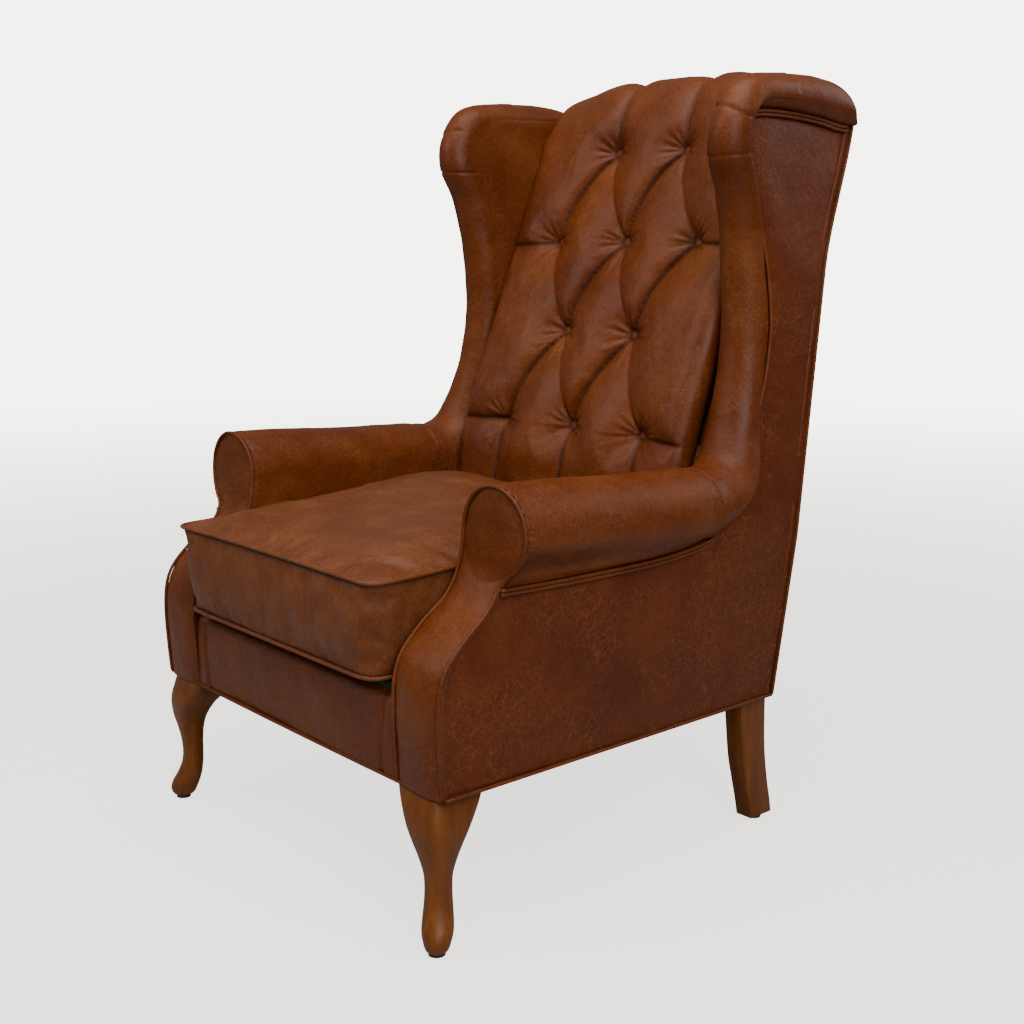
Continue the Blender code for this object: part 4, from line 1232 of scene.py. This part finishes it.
backLegSections = smoothPath([Vector(section) for section in (
    (0.0054, 0.6475, 0.6990, 0.3195), (0.0290, 0.6430, 0.6950, 0.3190), (0.0533, 0.6375, 0.6890, 0.3183),
    (0.0755, 0.6320, 0.6845, 0.3178), (0.1080, 0.6245, 0.6790, 0.3170), (0.1430, 0.6203, 0.6755, 0.3160),
    (0.1950, 0.6152, 0.6738, 0.3150), (baseHeight - 0.0004, 0.6140, 0.6736, 0.3147))])
bm = bmesh.new()
bmesh.ops.create_cube(bm, size=2)
bmesh.ops.subdivide_edges(bm, edges=[e for e in bm.edges if abs(e.verts[0].co.z - e.verts[1].co.z) > 1], cuts=36,
                          use_grid_fill=True)
for vert in bm.verts:
    height, front, back, inner = backLegSections((vert.co.z + 1) / 2)
    vert.co = at(mix(inner, 0.352, (vert.co.x + 1) / 2), mix(front, back, (vert.co.y + 1) / 2), height)
upright = [e for e in bm.edges if e.calc_face_angle(0) > 0.5]
bmesh.ops.bevel(bm, geom=upright, offset=0.0030, offset_type="OFFSET", segments=3, profile=0.5, affect="EDGES",
                material=-1)
addPair("back_leg_sawn", bm, legWood, replaced=("back_leg",), slotName="leg_wood", smoothAngle=40)
print("legs made")

# ---- finishes on the pieces kept from the frame ----
finishes = {"beech": beech, "leg_wood": legWood, "foam": foam, "black_cloth": blackCloth, "zip_tape": zipTape,
            "steel": zinc, "glide": blackPlastic, "leather": leather}
kept = {"_rail": beech, "_block": beech, "_post": beech, "upright": beech, "wing_frame": beech, "glide": blackPlastic,
        "bolt": zinc, "webbing": blackCloth}
for name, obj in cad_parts.items():
    for key, material in kept.items():
        if key in name:
            for place in obj.material_slots:
                place.material = material

# ---- floor, light and camera ----
studio = {"floor": (0.40, 0.40, 0.40), "world": 0.26, "keyPower": 44.0, "topPower": 98.0, "fillPower": 98.0,
          "rimPower": 20.0, "backdrop": 6.0, "glowNear": 2.0, "nearReach": 1.2, "farReach": 7.0}
chairMiddle = at(0, 0.4381, 0.4890)
bm = bmesh.new()
bmesh.ops.create_circle(bm, cap_ends=True, radius=30, segments=96)
mesh = bpy.data.meshes.new("floor")
bm.to_mesh(mesh)
bm.free()
floor = bpy.data.objects.new("floor", mesh)
bpy.context.scene.collection.objects.link(floor)
floorMaterial, nodes, links, shader = newMaterial("studio_floor")
tone = addNode(nodes, "ShaderNodeTexNoise", Scale=0.8, Detail=2.0)
links.new(nodes.new("ShaderNodeTexCoord").outputs["Object"], tone.inputs["Vector"])
toneRamp = colourRamp(nodes, ((0.3, tuple(0.98 * c for c in studio["floor"])), (0.7, studio["floor"])))
links.new(tone.outputs["Fac"], toneRamp.inputs["Fac"])
links.new(toneRamp.outputs["Color"], shader.inputs["Base Color"])
shader.inputs["Roughness"].default_value = 0.9
shader.inputs["Specular IOR Level"].default_value = 0.0
# the camera sees the floor brighten with distance until it meets the backdrop
distance = nodes.new("ShaderNodeVectorMath")
distance.operation = "LENGTH"
links.new(nodes.new("ShaderNodeTexCoord").outputs["Object"], distance.inputs[0])
glow = addNode(nodes, "ShaderNodeMapRange", interpolation_type="SMOOTHSTEP")
for socket, value in (("From Min", studio["nearReach"]), ("From Max", studio["farReach"]), ("To Min", studio["glowNear"]),
                      ("To Max", studio["backdrop"])):
    glow.inputs[socket].default_value = value
links.new(distance.outputs["Value"], glow.inputs["Value"])
toCamera = nodes.new("ShaderNodeLightPath").outputs["Is Camera Ray"]
shader.inputs["Emission Color"].default_value = (1.0, 0.965, 0.93, 1)
links.new(maths(nodes, links, "MULTIPLY", glow.outputs["Result"], toCamera), shader.inputs["Emission Strength"])
mesh.materials.append(floorMaterial)

world = bpy.data.worlds.new("studio")
world.use_nodes = True
background = world.node_tree.nodes["Background"]
background.inputs["Color"].default_value = (1.0, 0.965, 0.93, 1)
# the backdrop is seen brighter than it lights the chair
seen = world.node_tree.nodes.new("ShaderNodeLightPath")
strength = world.node_tree.nodes.new("ShaderNodeMapRange")
strength.inputs["To Min"].default_value = studio["world"]
strength.inputs["To Max"].default_value = studio["backdrop"]
world.node_tree.links.new(seen.outputs["Is Camera Ray"], strength.inputs["Value"])
world.node_tree.links.new(strength.outputs["Result"], background.inputs["Strength"])
bpy.context.scene.world = world


def addLight(name, place, size, power, aim=chairMiddle, colour=(1, 1, 1)):
    light = bpy.data.lights.new(name, "AREA")
    light.shape = "RECTANGLE"
    light.size, light.size_y = size
    light.energy = power
    light.color = colour
    holder = bpy.data.objects.new(name, light)
    holder.location = place
    holder.rotation_euler = (Vector(aim) - Vector(place)).to_track_quat("-Z", "Y").to_euler()
    bpy.context.scene.collection.objects.link(holder)


addLight("key", (-1.3, -2.5, 2.6), (1.5, 1.5), studio["keyPower"], (0, 0.1, 0.7), (1.0, 0.97, 0.94))
addLight("top", (0.5, -0.5, 3.4), (2.4, 2.0), studio["topPower"], (0, 0.1, 0.5))
addLight("fill", (3.0, -1.5, 2.3), (1.6, 1.8), studio["fillPower"], (0, 0.1, 0.7), (1.0, 0.98, 0.96))
addLight("rim", (1.2, 2.8, 2.2), (1.6, 1.6), studio["rimPower"])

camera = bpy.data.cameras.new("view")
camera.lens = 48.41
camera.sensor_width = 36
cameraHolder = bpy.data.objects.new("view", camera)
cameraHolder.location = at(1.6867, -1.0189, 0.9257)
cameraHolder.rotation_euler = (chairMiddle - cameraHolder.location).to_track_quat("-Z", "Y").to_euler()
bpy.context.scene.collection.objects.link(cameraHolder)
bpy.context.scene.camera = cameraHolder
print("studio set")

bpy.context.view_layer.update()
